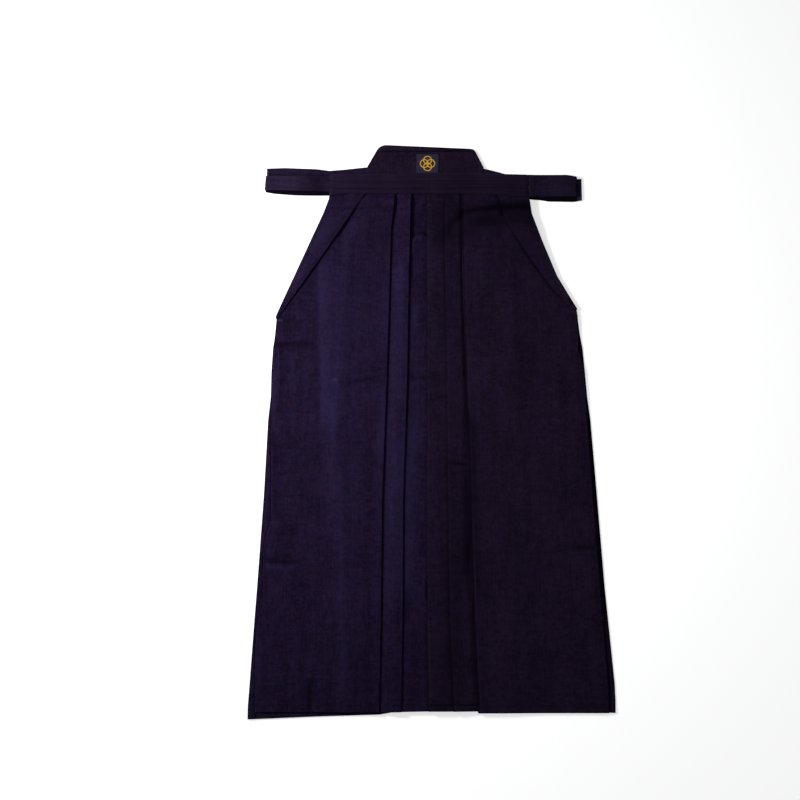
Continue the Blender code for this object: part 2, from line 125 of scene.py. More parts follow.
PLEATS = Table(
    ("y", "first", "second", "third", "fourth", "fifth"),
    [
        (469, -65, -36, -10, 24, 57),
        (420, -68.5, -37.5, -10, 23.5, 56.5),
        (373, -74, -39, -9.5, 22, 56.5),
        (300, -76, -41, -9, 23.5, 57.5),
        (97, -82, -44.5, -8, 27, 64),
        (-125, -90.5, -52, -8.5, 29.5, 71.5),
        (-346, -93, -53, -8, 32.5, 78.5),
        (-517, -96.5, -56, -5, 40.5, 86.5),
    ],
)
SIDES = Table(
    ("y", "back_left", "front_left", "front_right", "back_right"),
    [
        (471, -112.5, -186, 178.5, 95.5),
        (431, -139, -187, 179.5, 122),
        (403, -158, -198, 184, 141),
        (355, -190, -220.5, 202.5, 174),
        (288, -235, -251.5, 231, 219),
        (244, -264.5, -272, 257.8, 249),
        (229, -274.8, -278.8, 267.3, 261),
        (214, -285, -285.5, 270, 269.5),
        (178, -288.5, -286.3, 271.5, 274.5),
        (155, -292, -289.6, 271.5, 279),
        (111, -295, -292.4, 282, 283.5),
        (67, -296, -293.4, 285.5, 287.5),
        (23, -301, -296, 287.5, 293.5),
        (0, -302.3, -295, 289.2, 295.5),
        (-110, -308.5, -294.8, 297.5, 305),
        (-162, -312.3, -294.8, 301.8, 309.4),
        (-200, -315.1, -307, 304.9, 312.6),
        (-225, -316.9, -310.5, 306.9, 314.7),
        (-287, -321.5, -310, 312, 320),
        (-312, -323.5, -310, 314, 322.6),
        (-350, -326.7, -320, 317, 326.6),
        (-392, -330.1, -324.3, 320.3, 331),
        (-464, -336, -324.6, 326, 338.5),
        (-494, -338.5, -324.8, 328, 340),
        (-517, -339, -325, 328, 340),
    ],
)
HEMS = Table(
    ("x", "front", "back"),
    [
        (-340, -516, -529.3),
        (-286, -516, -527.2),
        (-213, -516, -524),
        (-96, -516, -520.4),
        (-56, -515, -513),
        (-5, -514, -512),
        (40, -514, -512),
        (85.4, -514.2, -512),
        (87.2, -517.6, -512),
        (300, -517.5, -514),
        (326, -517.5, -516.8),
        (341, -517.5, -517.5),
    ],
)
SIDE_FOLDS = Table(
    ("y", "left", "right"),
    [
        (469, -100, 104),
        (431, -127.5, 122),
        (420, -135.5, 127),
        (373, -168, 147),
        (336, -194, 169.5),
        (300, -220, 195),
        (262, -246.5, 223),
        (222, -275.6, 264),
        (209, -284.6, 267),
    ],
)
SIDE_FOLD_ENDS = {"left": 210 * MM, "right": 226 * MM}
SIDE_FOLD_CROWN = {"left": 2.4 * MM, "right": 1.2 * MM}
BAND = Table(
    ("x", "foot", "top"),
    [
        (-187.2, 436, 474.9),
        (-159, 440.5, 474.9),
        (-58, 439, 476),
        (35, 438, 477),
        (127, 437, 475.5),
        (179.8, 434, 474.5),
    ],
)
BAND_LEFT = -187.2 * MM
BAND_RIGHT = 179.8 * MM
BAND_STEP = 2 * MM
BAND_UNDER_FOOT = 446 * MM
BAND_SLACK = 0.3 * MM
BAND_END_DROP = 1.2 * MM
BAND_STITCHING = (463.8 * MM, 450.9 * MM)
BAND_EASE = 0.35 * MM
BAND_WAVE = 0.25 * MM
BAND_GROOVE = 0.55 * MM
BAND_GROOVE_REACH = 1.5 * MM
BAND_PUCKER = 0.10 * MM
BAND_PUCKER_LENGTH = 8.3 * MM
BAND_PUCKER_REACH = 4.5 * MM
BAND_GROOVE_SHADE = 0.55
BAND_TURN_STEPS = 10
BAND_PALER = (-20 * MM, -187 * MM)
BAND_DARKER = (448 * MM, 440 * MM)
SIDE_FOLD_SEAM = 4 * MM

BOARD_WALL = 3.5 * MM
BOARD = {
    "foot": [(-113, 471), (96, 471)],
    "left": [(-113, 471), (-118, 490), (-94.5, 530.4)],
    "right": [(96, 471), (96.8, 488), (78.9, 522.7)],
    "left_round": 13,
    "right_round": 8,
}
# Above its stitching the board is paler at the left and darker at the right
BOARD_STRIP = (519.2 * MM, 520.4 * MM)
BOARD_STRIP_PALE = (0, -40 * MM)
BOARD_STRIP_DARK = (-10 * MM, 40 * MM)
BOARD_STITCHING = [(-91, 518.4), (-60, 518.3), (0, 518.3), (40, 518.3), (73, 518.1)]
PATCH = {"x": -6.9 * MM, "y": 495.6 * MM, "width": 40.6 * MM, "height": 34.5 * MM}
PATCH_FLOOR = 3.8 * MM
RIM_STEEPNESS = 0.98
PATCH_WALL = 0.8 * MM

# How far the ties are darker, below 0, or paler: painted shade on the hidden part and on what
# shows of it below, where two ties touch, along the upper rim and near the band's end; a
# streak on the left loop; paler round a back tie's fold; painted light on a back tie's outer
# strip
TIE_TONE_AND_SHADING = {"under": -1.1, "lower": -1.3, "contact": -1.2, "streak": 0.16, "rim": -0.7,
           "turned": 1.1, "outer": 0.65, "near_band": -0.4}
TIE_RIM_REACH = 1.2 * MM
TIE_CONTACT_REACH = 1.5 * MM
TIE_OUTER = (269.5 * MM, 270.5 * MM)
TIE_CONTACT_LESS = (-205 * MM, -240 * MM)
TIE_STREAKED = (-212 * MM, -262 * MM)
# How far the front ties are paler or darker along their loops: painted light and shade
# with the cloth's own tone
LOOP_TONE_AND_SHADING = {
    "front_tie_left": Table(("x", "amount"), [
        (-305, 0.40), (-284, 0.30), (-271, 0.37), (-251, 0.38), (-238, 0.07),
        (-221, -0.15), (-204, -0.12), (-192, 0)]),
    "front_tie_right": Table(("x", "amount"), [
        (203, 0), (210, -0.10), (222, 0.11), (231, 0.15), (247, 0), (256, -0.18),
        (266, -0.10), (268, -0.8)]),
}
TIE_COLUMNS = ("x", "top", "bottom")
FRONT_TIE_START = 8.0 * MM
FRONT_TIE_SLOPE = 24 * MM
TIE_STEP = 3 * MM
TIE_TURN_STEPS = 9
TIE_WIDTH = 30 * MM
TIE_BULGE_REACH = 16 * MM
TIE_CROWN = 0.28 * MM
TIE_GROOVE = 0.16 * MM
TIE_WAVE = 0.10 * MM
TIES = {
    "front_tie_left": {
        "start": -185.6, "fold": -304.5, "slant": -2.2, "end": -146, "bulge": 1.3,
        "over": Table(TIE_COLUMNS, [(-305, 472.4, 446.4), (-290, 472.7, 446.6),
                                    (-251, 473, 446), (-211, 473, 444.4),
                                    (-187, 473, 443.4)]),
        "under": Table(TIE_COLUMNS, [(-305, 472, 443), (-290, 472, 439.9),
                                     (-252, 471.5, 436.9), (-211, 471.5, 436.4),
                                     (-146, 471.5, 437)]),
        "heights": (FRONT_TIE_OVER, FRONT_TIE_UNDER),
    },
    "front_tie_right": {
        "start": 178.4, "fold": 268, "slant": 1.5, "end": 146, "bulge": 0.7,
        "over": Table(TIE_COLUMNS, [(180, 474.4, 434.6), (250, 474.6, 434.8),
                                    (262, 472.6, 435), (268, 470, 435.3)]),
        "under": Table(TIE_COLUMNS, [(146, 473, 438), (250, 473, 438), (268, 472, 437)]),
        "heights": (FRONT_TIE_OVER, FRONT_TIE_UNDER),
    },
    "back_tie_left": {
        "start": -112, "fold": -302.5, "slant": -1, "end": -150, "bulge": 0,
        "over": Table(TIE_COLUMNS, [(-303, 486.5, 457), (-270, 487.6, 457.5),
                                    (-212, 485.5, 455.5), (-188, 482.3, 452.3),
                                    (-160, 484.5, 454.5), (-118, 489, 460)]),
        "under": Table(TIE_COLUMNS, [(-303, 486, 456.5), (-212, 483.5, 453.5),
                                     (-188, 480.5, 450.5), (-150, 481, 451)]),
        "heights": (BACK_TIE_OVER, BACK_TIE_UNDER),
    },
    "back_tie_right": {
        "start": 95, "fold": 276.5, "slant": 1, "end": 152, "bulge": 0,
        "over": Table(TIE_COLUMNS, [(97, 486.3, 450), (121, 480.5, 443),
                                    (140, 475, 437.5), (165, 470, 433),
                                    (193, 467.5, 429.2), (216, 465, 425.6),
                                    (262, 466.5, 424.9), (277, 467.5, 427.8)]),
        "under": Table(TIE_COLUMNS, [(152, 471, 433), (193, 467, 428.6),
                                     (262, 464, 425.6), (277, 466, 427.8)]),
        "heights": (BACK_TIE_OVER, BACK_TIE_UNDER),
    },
}

# Creases of the front: sharp, as one pressed in storage is, or soft, the height or, below
# 0, the depth, how far it fades to the left and to the right of its line, walking along
# it, how far its ends fade at most, and the line. Lines down the garment start at the hem
SOFT = "soft"
SHARP = "sharp"
CREASE_END_SHARE = 0.35
CREASE_ROUNDING = 0.8 * MM
FRONT_CREASES = (
    (SOFT, 2.4, 52, 44, 60, (-158, -517), (-158, -120), (-160, 60), (-160, 320)),
    (SHARP, -1.35, 9, 15, 60, (-209, -270), (-206, -150), (-204, 60), (-206, 230), (-208, 345)),
    (SHARP, 0.9, 14, 4, 60, (-181, -40), (-178.3, 20), (-176.5, 90)),
    (SHARP, 0.9, 9, 4, 40, (-166, -215), (-166.5, -50)),
    (SHARP, 1.0, 4, 15, 40, (-164, -517), (-165.5, -350), (-167, -165)),
    (SHARP, 1.0, 4, 5, 60, (-156, 300), (-152, 350), (-143, 375), (-130, 412)),
    (SOFT, -1.0, 7, 7, 60, (-170, 330), (-166, 360), (-148, 405)),
    (SHARP, 0.9, 7, 6, 60, (-122, 310), (-118, 360), (-112, 412)),
    (SOFT, 0.7, 10, 6, 60, (-95, 250), (-92, 330), (-88, 400)),
    (SOFT, 0.8, 16, 9, 60, (-122, -420), (-126, -260), (-120, -10)),
    (SHARP, -1.0, 5, 5, 60, (-229, -530), (-228, -440)),
    (SHARP, -0.7, 4, 5, 60, (-176, -530), (-178, -430)),
    (SHARP, -1.4, 6, 7, 20, (-306, 166), (-262, 165), (-206, 169)),
    (SHARP, -1.3, 5, 6, 25, (-174, 88), (-150, 92), (-120, 98), (-84, 106)),
    (SHARP, -0.7, 4, 5, 60, (-60, 104), (-20, 101), (28, 99)),
    (SHARP, -1.1, 5, 6, 60, (-8, 58), (12, 63), (38, 67)),
    (SHARP, -1.0, 4, 6, 60, (24, -53), (48, -57), (74, -56)),
    (SHARP, -1.5, 5, 7, 60, (-325, -233), (-270, -239), (-224, -236)),
    (SHARP, -1.2, 6, 5, 60, (226, -216), (270, -211), (318, -213)),
    (SOFT, -1.6, 12, 7, 60, (196, 417), (140, 414), (92, 412), (60, 405), (40, 388), (24, 366)),
    (SHARP, 1.5, 7, 2.5, 12, (-6, 357), (-13, 363), (-26, 362), (-34, 354), (-37, 322)),
    (SOFT, -0.9, 9, 6, 60, (60, 392), (38, 383), (14, 360), (2, 336)),
    (SOFT, 0.8, 18, 10, 60, (152, -440), (148, -120), (146, 100), (150, 330)),
    (SOFT, 0.6, 14, 18, 60, (230, -420), (224, -100), (226, 150)),
    (SOFT, -0.5, 10, 9, 60, (121, -60), (118, 200), (110, 360)),
    (SOFT, -0.5, 9, 9, 60, (193, -180), (190, 60), (196, 260)),
    (SOFT, -0.35, 5, 6, 60, (250, 60), (180, 40), (112, 30)),
    (SOFT, -0.4, 5, 6, 60, (-298, 30), (-240, 36), (-205, 33)),
    (SOFT, -0.4, 5, 6, 60, (-240, -330), (-190, -342), (-130, -338)),
    (SOFT, -0.4, 5, 6, 60, (130, -330), (220, -345), (300, -338)),
    (SOFT, 0.5, 9, 7, 60, (-258, -517), (-246, -400), (-262, -250)),
)
# Paler lines, above 0, where the dye is rubbed paler along crease ridges and where highlights
# are painted on the lit side of creases and folds, and, below 0, painted shade in creases,
# wrinkles, under the band and beside folds and edges, in the same columns
FADING_AND_SHADING = (
    (SHARP, 0.32, 2, 26, 60, (-203.5, -10), (-203.5, 60), (-205.5, 230), (-208, 345)),
    (SHARP, 0.36, 14, 3, 60, (-181, -40), (-178.3, 20), (-176.5, 95)),
    (SHARP, 0.3, 5, 3, 40, (-166, -215), (-166.5, -50)),
    (SHARP, 0.3, 2, 12, 40, (-164, -517), (-165.5, -350), (-167, -165)),
    (SOFT, -0.35, 3, 6, 20, (-284, 30), (-279, 60), (-277, 100), (-279, 175)),
    (SOFT, -0.4, 3, 10, 25, (-291, -170), (-290, -80), (-291, 10)),
    (SOFT, -0.35, 3, 4, 12, (-305, -305), (-304, -255)),
    (SOFT, 0.25, 5, 6, 15, (-302, -262), (-300, -200)),
    (SOFT, -0.3, 3, 4, 25, (-312, -500), (-311, -400)),
    (SOFT, 0.2, 14, 14, 60, (-222, 322), (-198, 362), (-170, 412)),
    (SOFT, -0.5, 2, 15, 50, (85, -330), (81, -230), (77, -150), (72, -40), (66, 60)),
    (SOFT, 0.3, 3, 5, 20, (-291, -5), (-291, 60), (-290, 120)),
    (SOFT, 0.3, 5, 6, 20, (-30, 180), (-30, 250)),
    (SOFT, 0.28, 7, 3, 30, (-92, -60), (-89, 20), (-86, 100)),
    (SOFT, 0.12, 14, 14, 60, (-26, -60), (-25, 80), (-26, 200)),
    (SOFT, 0.14, 26, 26, 60, (34, -60), (30, 80), (28, 200)),
    (SOFT, 0.4, 7, 7, 10, (259, 238), (238, 268), (211, 318), (193, 360)),
    (SOFT, -1.0, 3, 3, 4, (252, 250), (260, 236)),
    (SHARP, 0.15, 4, 4, 60, (-156, 300), (-152, 350), (-143, 375), (-130, 412)),
    (SHARP, 0.35, 12, 5, 60, (-58, 40), (-54, 200), (-53, 340)),
    (SOFT, 0.2, 22, 22, 60, (-74, -330), (-68, -150), (-66, 40)),
    (SOFT, 0.25, 12, 16, 60, (-42, -330), (-40, -150), (-36, 60)),
    (SHARP, 0.45, 1, 3, 12, (-36, 318), (-34, 352), (-28, 359), (-14, 360)),
    (SOFT, -0.7, 2, 3, 4, (-6, 360), (-14, 367), (-29, 365), (-37, 356)),
    (SOFT, -0.25, 18, 22, 60, (-280, 300), (-272, 200), (-262, 130)),
    (SOFT, -0.3, 12, 22, 60, (-300, 120), (-312, -100), (-326, -420)),
    (SOFT, -0.75, 6, 10, 60, (240, 416), (150, 415), (92, 413)),
    (SOFT, -0.6, 5, 4, 60, (150, 415), (92, 413), (60, 406), (42, 388), (22, 364)),
    (SOFT, -0.5, 12, 10, 60, (46, 380), (28, 366), (2, 345)),
    (SHARP, -0.9, 2, 2, 6, (112, 450), (122, 431), (129, 402), (129, 396)),
    (SHARP, -0.9, 1.2, 1.2, 60, (136, 392), (147, 373), (169.5, 336), (195, 300), (223, 262),
     (262, 224)),
    (SOFT, -0.5, 14, 34, 60, (236, 398), (120, 390), (50, 386)),
    (SOFT, -0.3, 34, 34, 60, (-24, 414), (40, 396), (140, 372)),
    (SOFT, -0.2, 60, 60, 60, (150, 300), (190, 340), (230, 300)),
    (SOFT, 0.08, 90, 60, 60, (-140, -200), (-146, 60), (-150, 380)),
    (SOFT, -0.22, 40, 44, 60, (32, -560), (30, -360), (26, -190)),
    (SOFT, -1.0, 2.5, 1.5, 8, (-9, -312), (-9, -272)),
    (SOFT, -0.55, 7, 4, 60, (68, -290), (70, -170), (63, -40)),
    (SOFT, -0.25, 14, 14, 60, (58, -300), (56, -190), (54, -90)),
    (SOFT, -0.5, 3, 4, 25, (-172, 87), (-150, 91), (-120, 97), (-84, 105)),
    (SOFT, 0.5, 4, 4, 2, (-182, 96), (-172, 97)),
    (SOFT, -0.5, 3, 3, 7, (-2, 104), (24, 107)),
    (SOFT, -0.35, 3, 3, 7, (2, 87), (26, 91)),
    (SOFT, -0.4, 3, 3, 9, (62, 175), (94, 177)),
    (SOFT, -0.6, 4, 4, 60, (-8, 58), (12, 63), (38, 67)),
    (SOFT, -0.55, 3, 4, 60, (24, -53), (48, -57), (74, -56)),
    (SOFT, -0.65, 4, 4, 60, (-325, -233), (-270, -239), (-224, -236)),
    (SOFT, 0.3, 4, 4, 60, (-325, -243), (-270, -250), (-234, -248)),
    (SOFT, -0.5, 4, 4, 60, (226, -216), (270, -211), (318, -213)),
    (SOFT, -0.5, 5, 7, 20, (-306, 163), (-262, 162), (-206, 166)),
    (SOFT, 0.2, 4, 4, 20, (-300, 174), (-262, 173), (-220, 176)),
    (SOFT, -0.35, 3, 3, 60, (-60, 104), (-20, 101), (28, 99)),
    (SOFT, -0.85, 4, 5, 60, (-229, -530), (-225, -470), (-214, -430)),
)
# The last three pleats have a painted shadow line at the fold, and beside it a painted
# highlight on the rim that is paler low down: how dark the line is, what share of that it loses
# towards the waist or, below 0, gains, how far right of the fold it lies, how pale the
# highlight is, and how far right
PLEAT_SHADING = {
    "third": (-0.8, -0.2, 0.3 * MM, 0.5, 2.9 * MM),
    "fourth": (-0.95, -0.1, 0.3 * MM, 0.4, 4.2 * MM),
    "fifth": (-1.6, 0.45, 1.1 * MM, 0.5, 4.4 * MM),
}
PLEAT_LINE_LEFT = 1.2 * MM
PLEAT_LINE_RIGHT = 0.8 * MM
PLEAT_RIM_REACH = 1.0 * MM
PLEAT_LINE_LOSS = (100 * MM, 300 * MM)
PLEAT_HIGHLIGHT_RISE = (-120 * MM, -380 * MM)
PLEAT_RIM_LEAST = 0.55
# The hem's stitching line is darker between two places
HEM_LINE_DARKER = 0.5
HEM_DRAWN_DARKER = 0.7
HEM_DRAWN_FROM = (-12 * MM, -4 * MM)
HEM_DRAWN_TO = (92 * MM, 84 * MM)
# How dark the painted shadow line is that the back shows beside the front's side edge, by y,
# and the painted shade on the rim at its own edge. Its right strip darkens outward, painted
# shade too
SIDE_LINE = {
    "left": ((-517, 0.9), (-395, 0.9), (-385, 0), (-312, 0), (-305, 0.9), (-225, 0.9),
             (-212, 0), (-168, 0.2), (-90, 0.4), (-60, 0.9), (5, 0.9), (30, 0.5)),
    "right": ((-517, 0.4), (-500, 0.9), (-420, 0.9), (-380, 0.3), (-300, 0.9), (-200, 0)),
}
SIDE_LINE_REACH = 1.2 * MM
BACK_RIM_SHADE = 1.4
BACK_RIM_REACH = 1.1 * MM
BACK_STRIP_SHADE = 1.2
BACK_STRIP_DARK = (-460 * MM, -220 * MM)
# The front's slack, which is less near its side edges and its hem
FRONT_EASE = 2.1 * MM
SIDE_REST = (1 * MM, 16 * MM)
SIDE_REST_LEAST = 0.5
HEM_REST = (HEM, HEM + 60 * MM)
HEM_REST_LEAST = 0.4
# How the back's side edges roll up beside the front's
ROLL = 1.0 * MM
ROLL_LEAN = 0.6
ROLL_WIDTHS = (3 * MM, 9 * MM)
ROLL_LEAST = 0.35
SIDE_SIGNS = {"left": -1, "right": 1}

# Creases of the back, which the whole garment shares: from below each is a shallow groove
BACK_CREASES = (
    (SOFT, 0.8, 9, 12, 60, (-176, -500), (-172, -180), (-165, 120), (-150, 380)),
    (SOFT, 0.8, 11, 8, 60, (180, -500), (171, -200), (160, 100), (140, 370)),
    (SOFT, 0.5, 8, 10, 60, (-262, -420), (-256, -120), (-245, 150)),
    (SOFT, 0.6, 9, 7, 60, (256, -440), (241, -90), (232, 170)),
    (SOFT, 0.4, 9, 8, 60, (-96, -300), (-92, 60), (-80, 330)),
    (SOFT, 0.5, 7, 9, 60, (101, -380), (92, -20), (86, 300)),
    (SOFT, 0.7, 5, 6, 60, (-292, -236), (-200, -240), (-90, -235)),
    (SOFT, 0.7, 6, 5, 60, (80, -212), (190, -216), (306, -211)),
    (SOFT, 0.6, 5, 5, 60, (-270, 171), (-180, 168), (-60, 173)),
    (SOFT, 0.5, 5, 6, 60, (60, 160), (150, 166), (262, 162)),
)

# Soft unevenness of laid cloth: wave lengths, turn of the waves, and height
UNEVEN = (
    {"length": 210, "turn": 0.35, "shift": 0.8, "height": 0.30},
    {"length": 133, "turn": 1.9, "shift": 2.1, "height": 0.22},
    {"length": 88, "turn": 1.2, "shift": 4.4, "height": 0.14},
    {"length": 57, "turn": 0.1, "shift": 1.3, "height": 0.10},
)


def ramp(value, start, end):
    """Smooth rise from 0 where value is start to 1 where it is end."""
    share = np.clip((value - start) / (end - start), 0, 1)
    return share * share * (3 - 2 * share)


def slide(value, start, end):
    """Nearly even rise from 0 where value is start to 1 where it is end."""
    share = np.clip((value - start) / (end - start), 0, 1)
    return (share + share * share * (3 - 2 * share)) / 2


def end_dense(count, part):
    """Shares from 0 to 1, closer together at both ends by this part."""
    t = np.linspace(0, 1, count)
    return t - part * np.sin(2 * math.pi * t) / (2 * math.pi)


def bell(gap, reach):
    """1 where a gap is 0, falling away smoothly on both sides."""
    return np.exp(-(gap / reach) ** 2)


def falloff(gap, reach):
    """1 where a gap is 0, falling away at once on both sides."""
    return np.exp(-np.abs(gap) / reach)


def crease_at(crease, x, y):
    """What a crease adds at points along its line, fading at its ends."""
    kind, height, left, right, fade, *line = crease
    line = np.array(line, float) * MM
    nearest = np.full(np.shape(x), np.inf)
    across = np.zeros(np.shape(x))
    along = np.zeros(np.shape(x))
    passed = 0.0
    for a, b in zip(line, line[1:]):
        way = b - a
        length = math.hypot(*way)
        way = way / length
        dx = x - a[0]
        dy = y - a[1]
        place = np.clip(dx * way[0] + dy * way[1], 0, length)
        gap = np.hypot(dx - place * way[0], dy - place * way[1])
        side = way[0] * dy - way[1] * dx
        closer = gap < nearest
        nearest = np.where(closer, gap, nearest)
        across = np.where(closer, side, across)
        along = np.where(closer, passed + place, along)
        passed += length
    reach = np.where(across > 0, left, right) * MM
    fade = min(CREASE_END_SHARE * passed, fade * MM)
    ends = ramp(along, 0, fade) * ramp(along, passed, passed - fade)
    if kind == SOFT:
        return height * bell(nearest, reach) * ends
    slant = np.exp((CREASE_ROUNDING - np.hypot(nearest, CREASE_ROUNDING)) / reach)
    return height * slant * ends


def creased(creases, x, y):
    """What these creases add together."""
    return sum(crease_at(crease, x, y) for crease in creases)


def unevenness(x, y):
    """Slow waves that keep the cloth from lying dead flat."""
    total = 0
    for wave in UNEVEN:
        way = x * math.cos(wave["turn"]) + 0.6 * y * math.sin(wave["turn"])
        other = y * math.cos(wave["turn"]) * 0.4 - x * math.sin(wave["turn"]) * 0.3
        turn = 2 * math.pi / (wave["length"] * MM)
        swing = np.sin(way * turn + wave["shift"] + np.sin(other * turn + wave["shift"]))
        total = total + wave["height"] * MM * swing
    return total


def side_roll(x, y):
    """The back's side edges roll up beside the front's, below the slits."""
    total = 0
    for side, sign in SIDE_SIGNS.items():
        outer = sign * SIDES.at(y, "back_" + side)
        inner = sign * SIDES.at(y, "front_" + side)
        wide = np.maximum(outer - inner, 0)
        place = np.clip((sign * x - inner) / np.maximum(wide, 1 * MM), 0, 1)
        arch = np.sin(math.pi * place ** ROLL_LEAN) ** 2
        total = total + ROLL * ramp(wide, *ROLL_WIDTHS) * arch
    more = ROLL_LEAST + (1 - ROLL_LEAST) * ramp(y, *ROLLED_MORE)
    return total * ramp(y, *ROLLED) * more


def back_relief(x, y):
    """What the creases of the back lift, on the back and on all that lies on it."""
    lifted = creased(BACK_CREASES, x, y) * MM
    lifted = lifted + np.maximum(unevenness(y, x) - 0.15 * MM, 0)
    return lifted * ramp(y, *BACK_CREASED)


def rolled_relief(x, y):
    """What lifts the back itself: its creases and its rolled side edges."""
    return back_relief(x, y) + side_roll(x, y)


def front_relief(x, y):
    """What the front's own creases and slack lift, over the back's."""
    side = np.where(x < 0, x - SIDES.at(y, "front_left"), SIDES.at(y, "front_right") - x)
    rest = SIDE_REST_LEAST + (1 - SIDE_REST_LEAST) * ramp(side, *SIDE_REST)
    rest = rest * (HEM_REST_LEAST + (1 - HEM_REST_LEAST) * ramp(y, *HEM_REST))
    lifted = FRONT_EASE + unevenness(x, y) + creased(FRONT_CREASES, x, y) * MM
    return np.maximum(lifted * rest * ramp(y, *BELOW_BAND), 0) + back_relief(x, y)


def hem_relief(y):
    """The doubled hem stands a little proud above its stitched groove."""
    above = y - HEM
    doubled = HEM_PROUD * ramp(above, HEM_DEPTH + 1.5 * MM, HEM_DEPTH - 2 * MM)
    groove = HEM_GROOVE * bell(above - HEM_DEPTH, HEM_GROOVE_REACH)
    return doubled - groove + HEM_LIFT * ramp(above, *HEM_LIFTED)


class Layers:
    """Fold edges and layer heights across the garment, at some distances y."""

    def __init__(self, y):
        self.y = np.asarray(y, float)
        for name in ("first", "second", "third", "fourth", "fifth"):
            setattr(self, name, PLEATS.at(self.y, name))
        self.seam = self.fourth - SEAM_FROM_FOURTH
        self.back_fold = self.third + BACK_FOLD_FROM_THIRD
        self.first_inner = self.first - OUTER_DEPTH
        self.second_inner = self.second - SECOND_SHARE * (self.second - self.first)
        # The fifth fold gapes widest half way down
        gape = bell(self.y - FIFTH_GAPE_AT, FIFTH_GAPE_REACH)
        share = FOURTH_SHARE + (FOURTH_SHARE_GAPING - FOURTH_SHARE) * gape
        self.fourth_inner = self.fourth + share * (self.fifth - self.fourth)
        self.fifth_inner = self.fifth + OUTER_DEPTH
        self.floor = FRONT_FLOOR + WAIST_LIFT * ramp(self.y, LIFT_END, BAND_FOOT)
        # Near the waist the folds aren't pressed flat, the first one only just below it
        below_band = ramp(self.y, *BELOW_BAND)
        self.first_loose = ramp(self.y, *FIRST_LOOSE) * below_band
        self.second_loose = ramp(self.y, *SECOND_LOOSE) * below_band

    def puff(self, x, edge, loose):
        """How far a fold that isn't pressed flat stands up beside its edge."""
        return FOLD_PUFF * loose * bell(x - edge, PUFF_REACH)

    def back_rise(self, x):
        """The back pleat's layers lift the left back, and the left front with it."""
        return 2 * LAYER * ramp(x, self.first - 30 * MM, self.second + 4 * MM)

    def left_back(self, x):
        return BACK_FLOOR + self.back_rise(x)

    def second_strip(self, x):
        return self.floor + self.back_rise(x)

    def first_strip(self, x):
        rise = ramp(x, self.first + 2 * MM, self.second_inner + 2 * MM)
        puff = self.puff(x, self.second, self.second_loose)
        return self.second_strip(x) + 2 * LAYER * rise + puff

    def left_panel(self, x):
        rise = slide(x, self.first - 3 * OUTER_DEPTH, self.first_inner)
        puff = self.puff(x, self.first, self.first_loose)
        return self.first_strip(x) + 2 * LAYER * rise + puff

    def third_strip(self, x):
        """The pile over the back pleat ends at the seam, and falls from there."""
        start = self.seam - 4 * MM
        return self.floor + 4 * LAYER * slide(x, start + PILE_SLOPE, start)

    def fourth_strip(self, x):
        carried = slide(x, self.fifth + 2 * MM, self.fourth_inner)
        return self.third_strip(x) + 2 * LAYER * carried

    def right_panel(self, x):
        rise = slide(x, self.fifth + 3 * OUTER_DEPTH, self.fifth_inner)
        return self.fourth_strip(x) + 2 * LAYER * rise

    def visible_top(self, x):
        """Height of the uppermost layer, side folds included."""
        left = self.left_panel(x) + LAYER * (x < SIDE_FOLDS.at(self.y, "left"))
        right = self.right_panel(x) + LAYER * (x > SIDE_FOLDS.at(self.y, "right"))
        return np.select(
            [x < self.first, x < self.second, x < self.third, x < self.fourth,
             x < self.fifth],
            [left, self.first_strip(x), self.second_strip(x), self.third_strip(x),
             self.fourth_strip(x)],
            right)


class Path:
    """Columns of points across a cloth piece, with one row for each distance y."""

    def __init__(self, rows):
        self.rows = rows
        self.x = []
        self.z = []
        self.folds = []

    def add(self, x, z):
        self.x.append(x + np.zeros(self.rows))
        self.z.append(z + np.zeros(self.rows))

    def run(self, start, end, count, height, lift=0.0, dense=0.5):
        """Points along a layer, closer together at its ends."""
        for share in end_dense(count, dense):
            x = start + (end - start) * share
            self.add(x, height(x) + lift)

    def fold(self, edge, side, leaving, joining):
        """Points round the fold at edge, between layers given as height and lift."""
        turn = edge - side * FOLD_RADIUS
        first = leaving[0](turn) + leaving[1]
        last = joining[0](turn) + joining[1]
        self.folds.append(len(self.x) + FOLD_STEPS // 2 - 1)
        for step in range(1, FOLD_STEPS):
            angle = math.pi * step / FOLD_STEPS
            x = edge - side * FOLD_RADIUS * (1 - math.sin(angle))
            self.add(x, (first + last) / 2 + (first - last) / 2 * math.cos(angle))

    def pleat(self, edge, inner, side, above, below, under, hidden):
        """Round a fold, under it to its inner fold, and back out nearly to its edge."""
        r = side * FOLD_RADIUS
        self.fold(edge, side, (above, 0), (below, LAYER))
        self.run(edge - r, inner + r, under, below, LAYER)
        self.fold(inner, -side, (below, LAYER), (below, 0))
        self.run(inner + r, edge - side * COARSE_END, hidden, below, dense=0)


def front_left_path(s):
    """From the left side to the centre seam, through two pleats."""
    r = FOLD_RADIUS
    path = Path(len(s.y))
    path.run(SIDES.at(s.y, "front_left"), s.first - r, 60, s.left_panel)
    path.pleat(s.first, s.first_inner, 1, s.left_panel, s.first_strip, 8, 6)
    path.run(s.first - FINE_START, s.second - r, 28, s.first_strip, dense=0.75)
    path.pleat(s.second, s.second_inner, 1, s.first_strip, s.second_strip, 7, 5)
    path.run(s.second - FINE_START, s.third + 2 * MM, 30, s.second_strip, dense=0.75)
    path.run(s.third + 2.6 * MM, s.seam, 6, s.second_strip, dense=0)
    return path


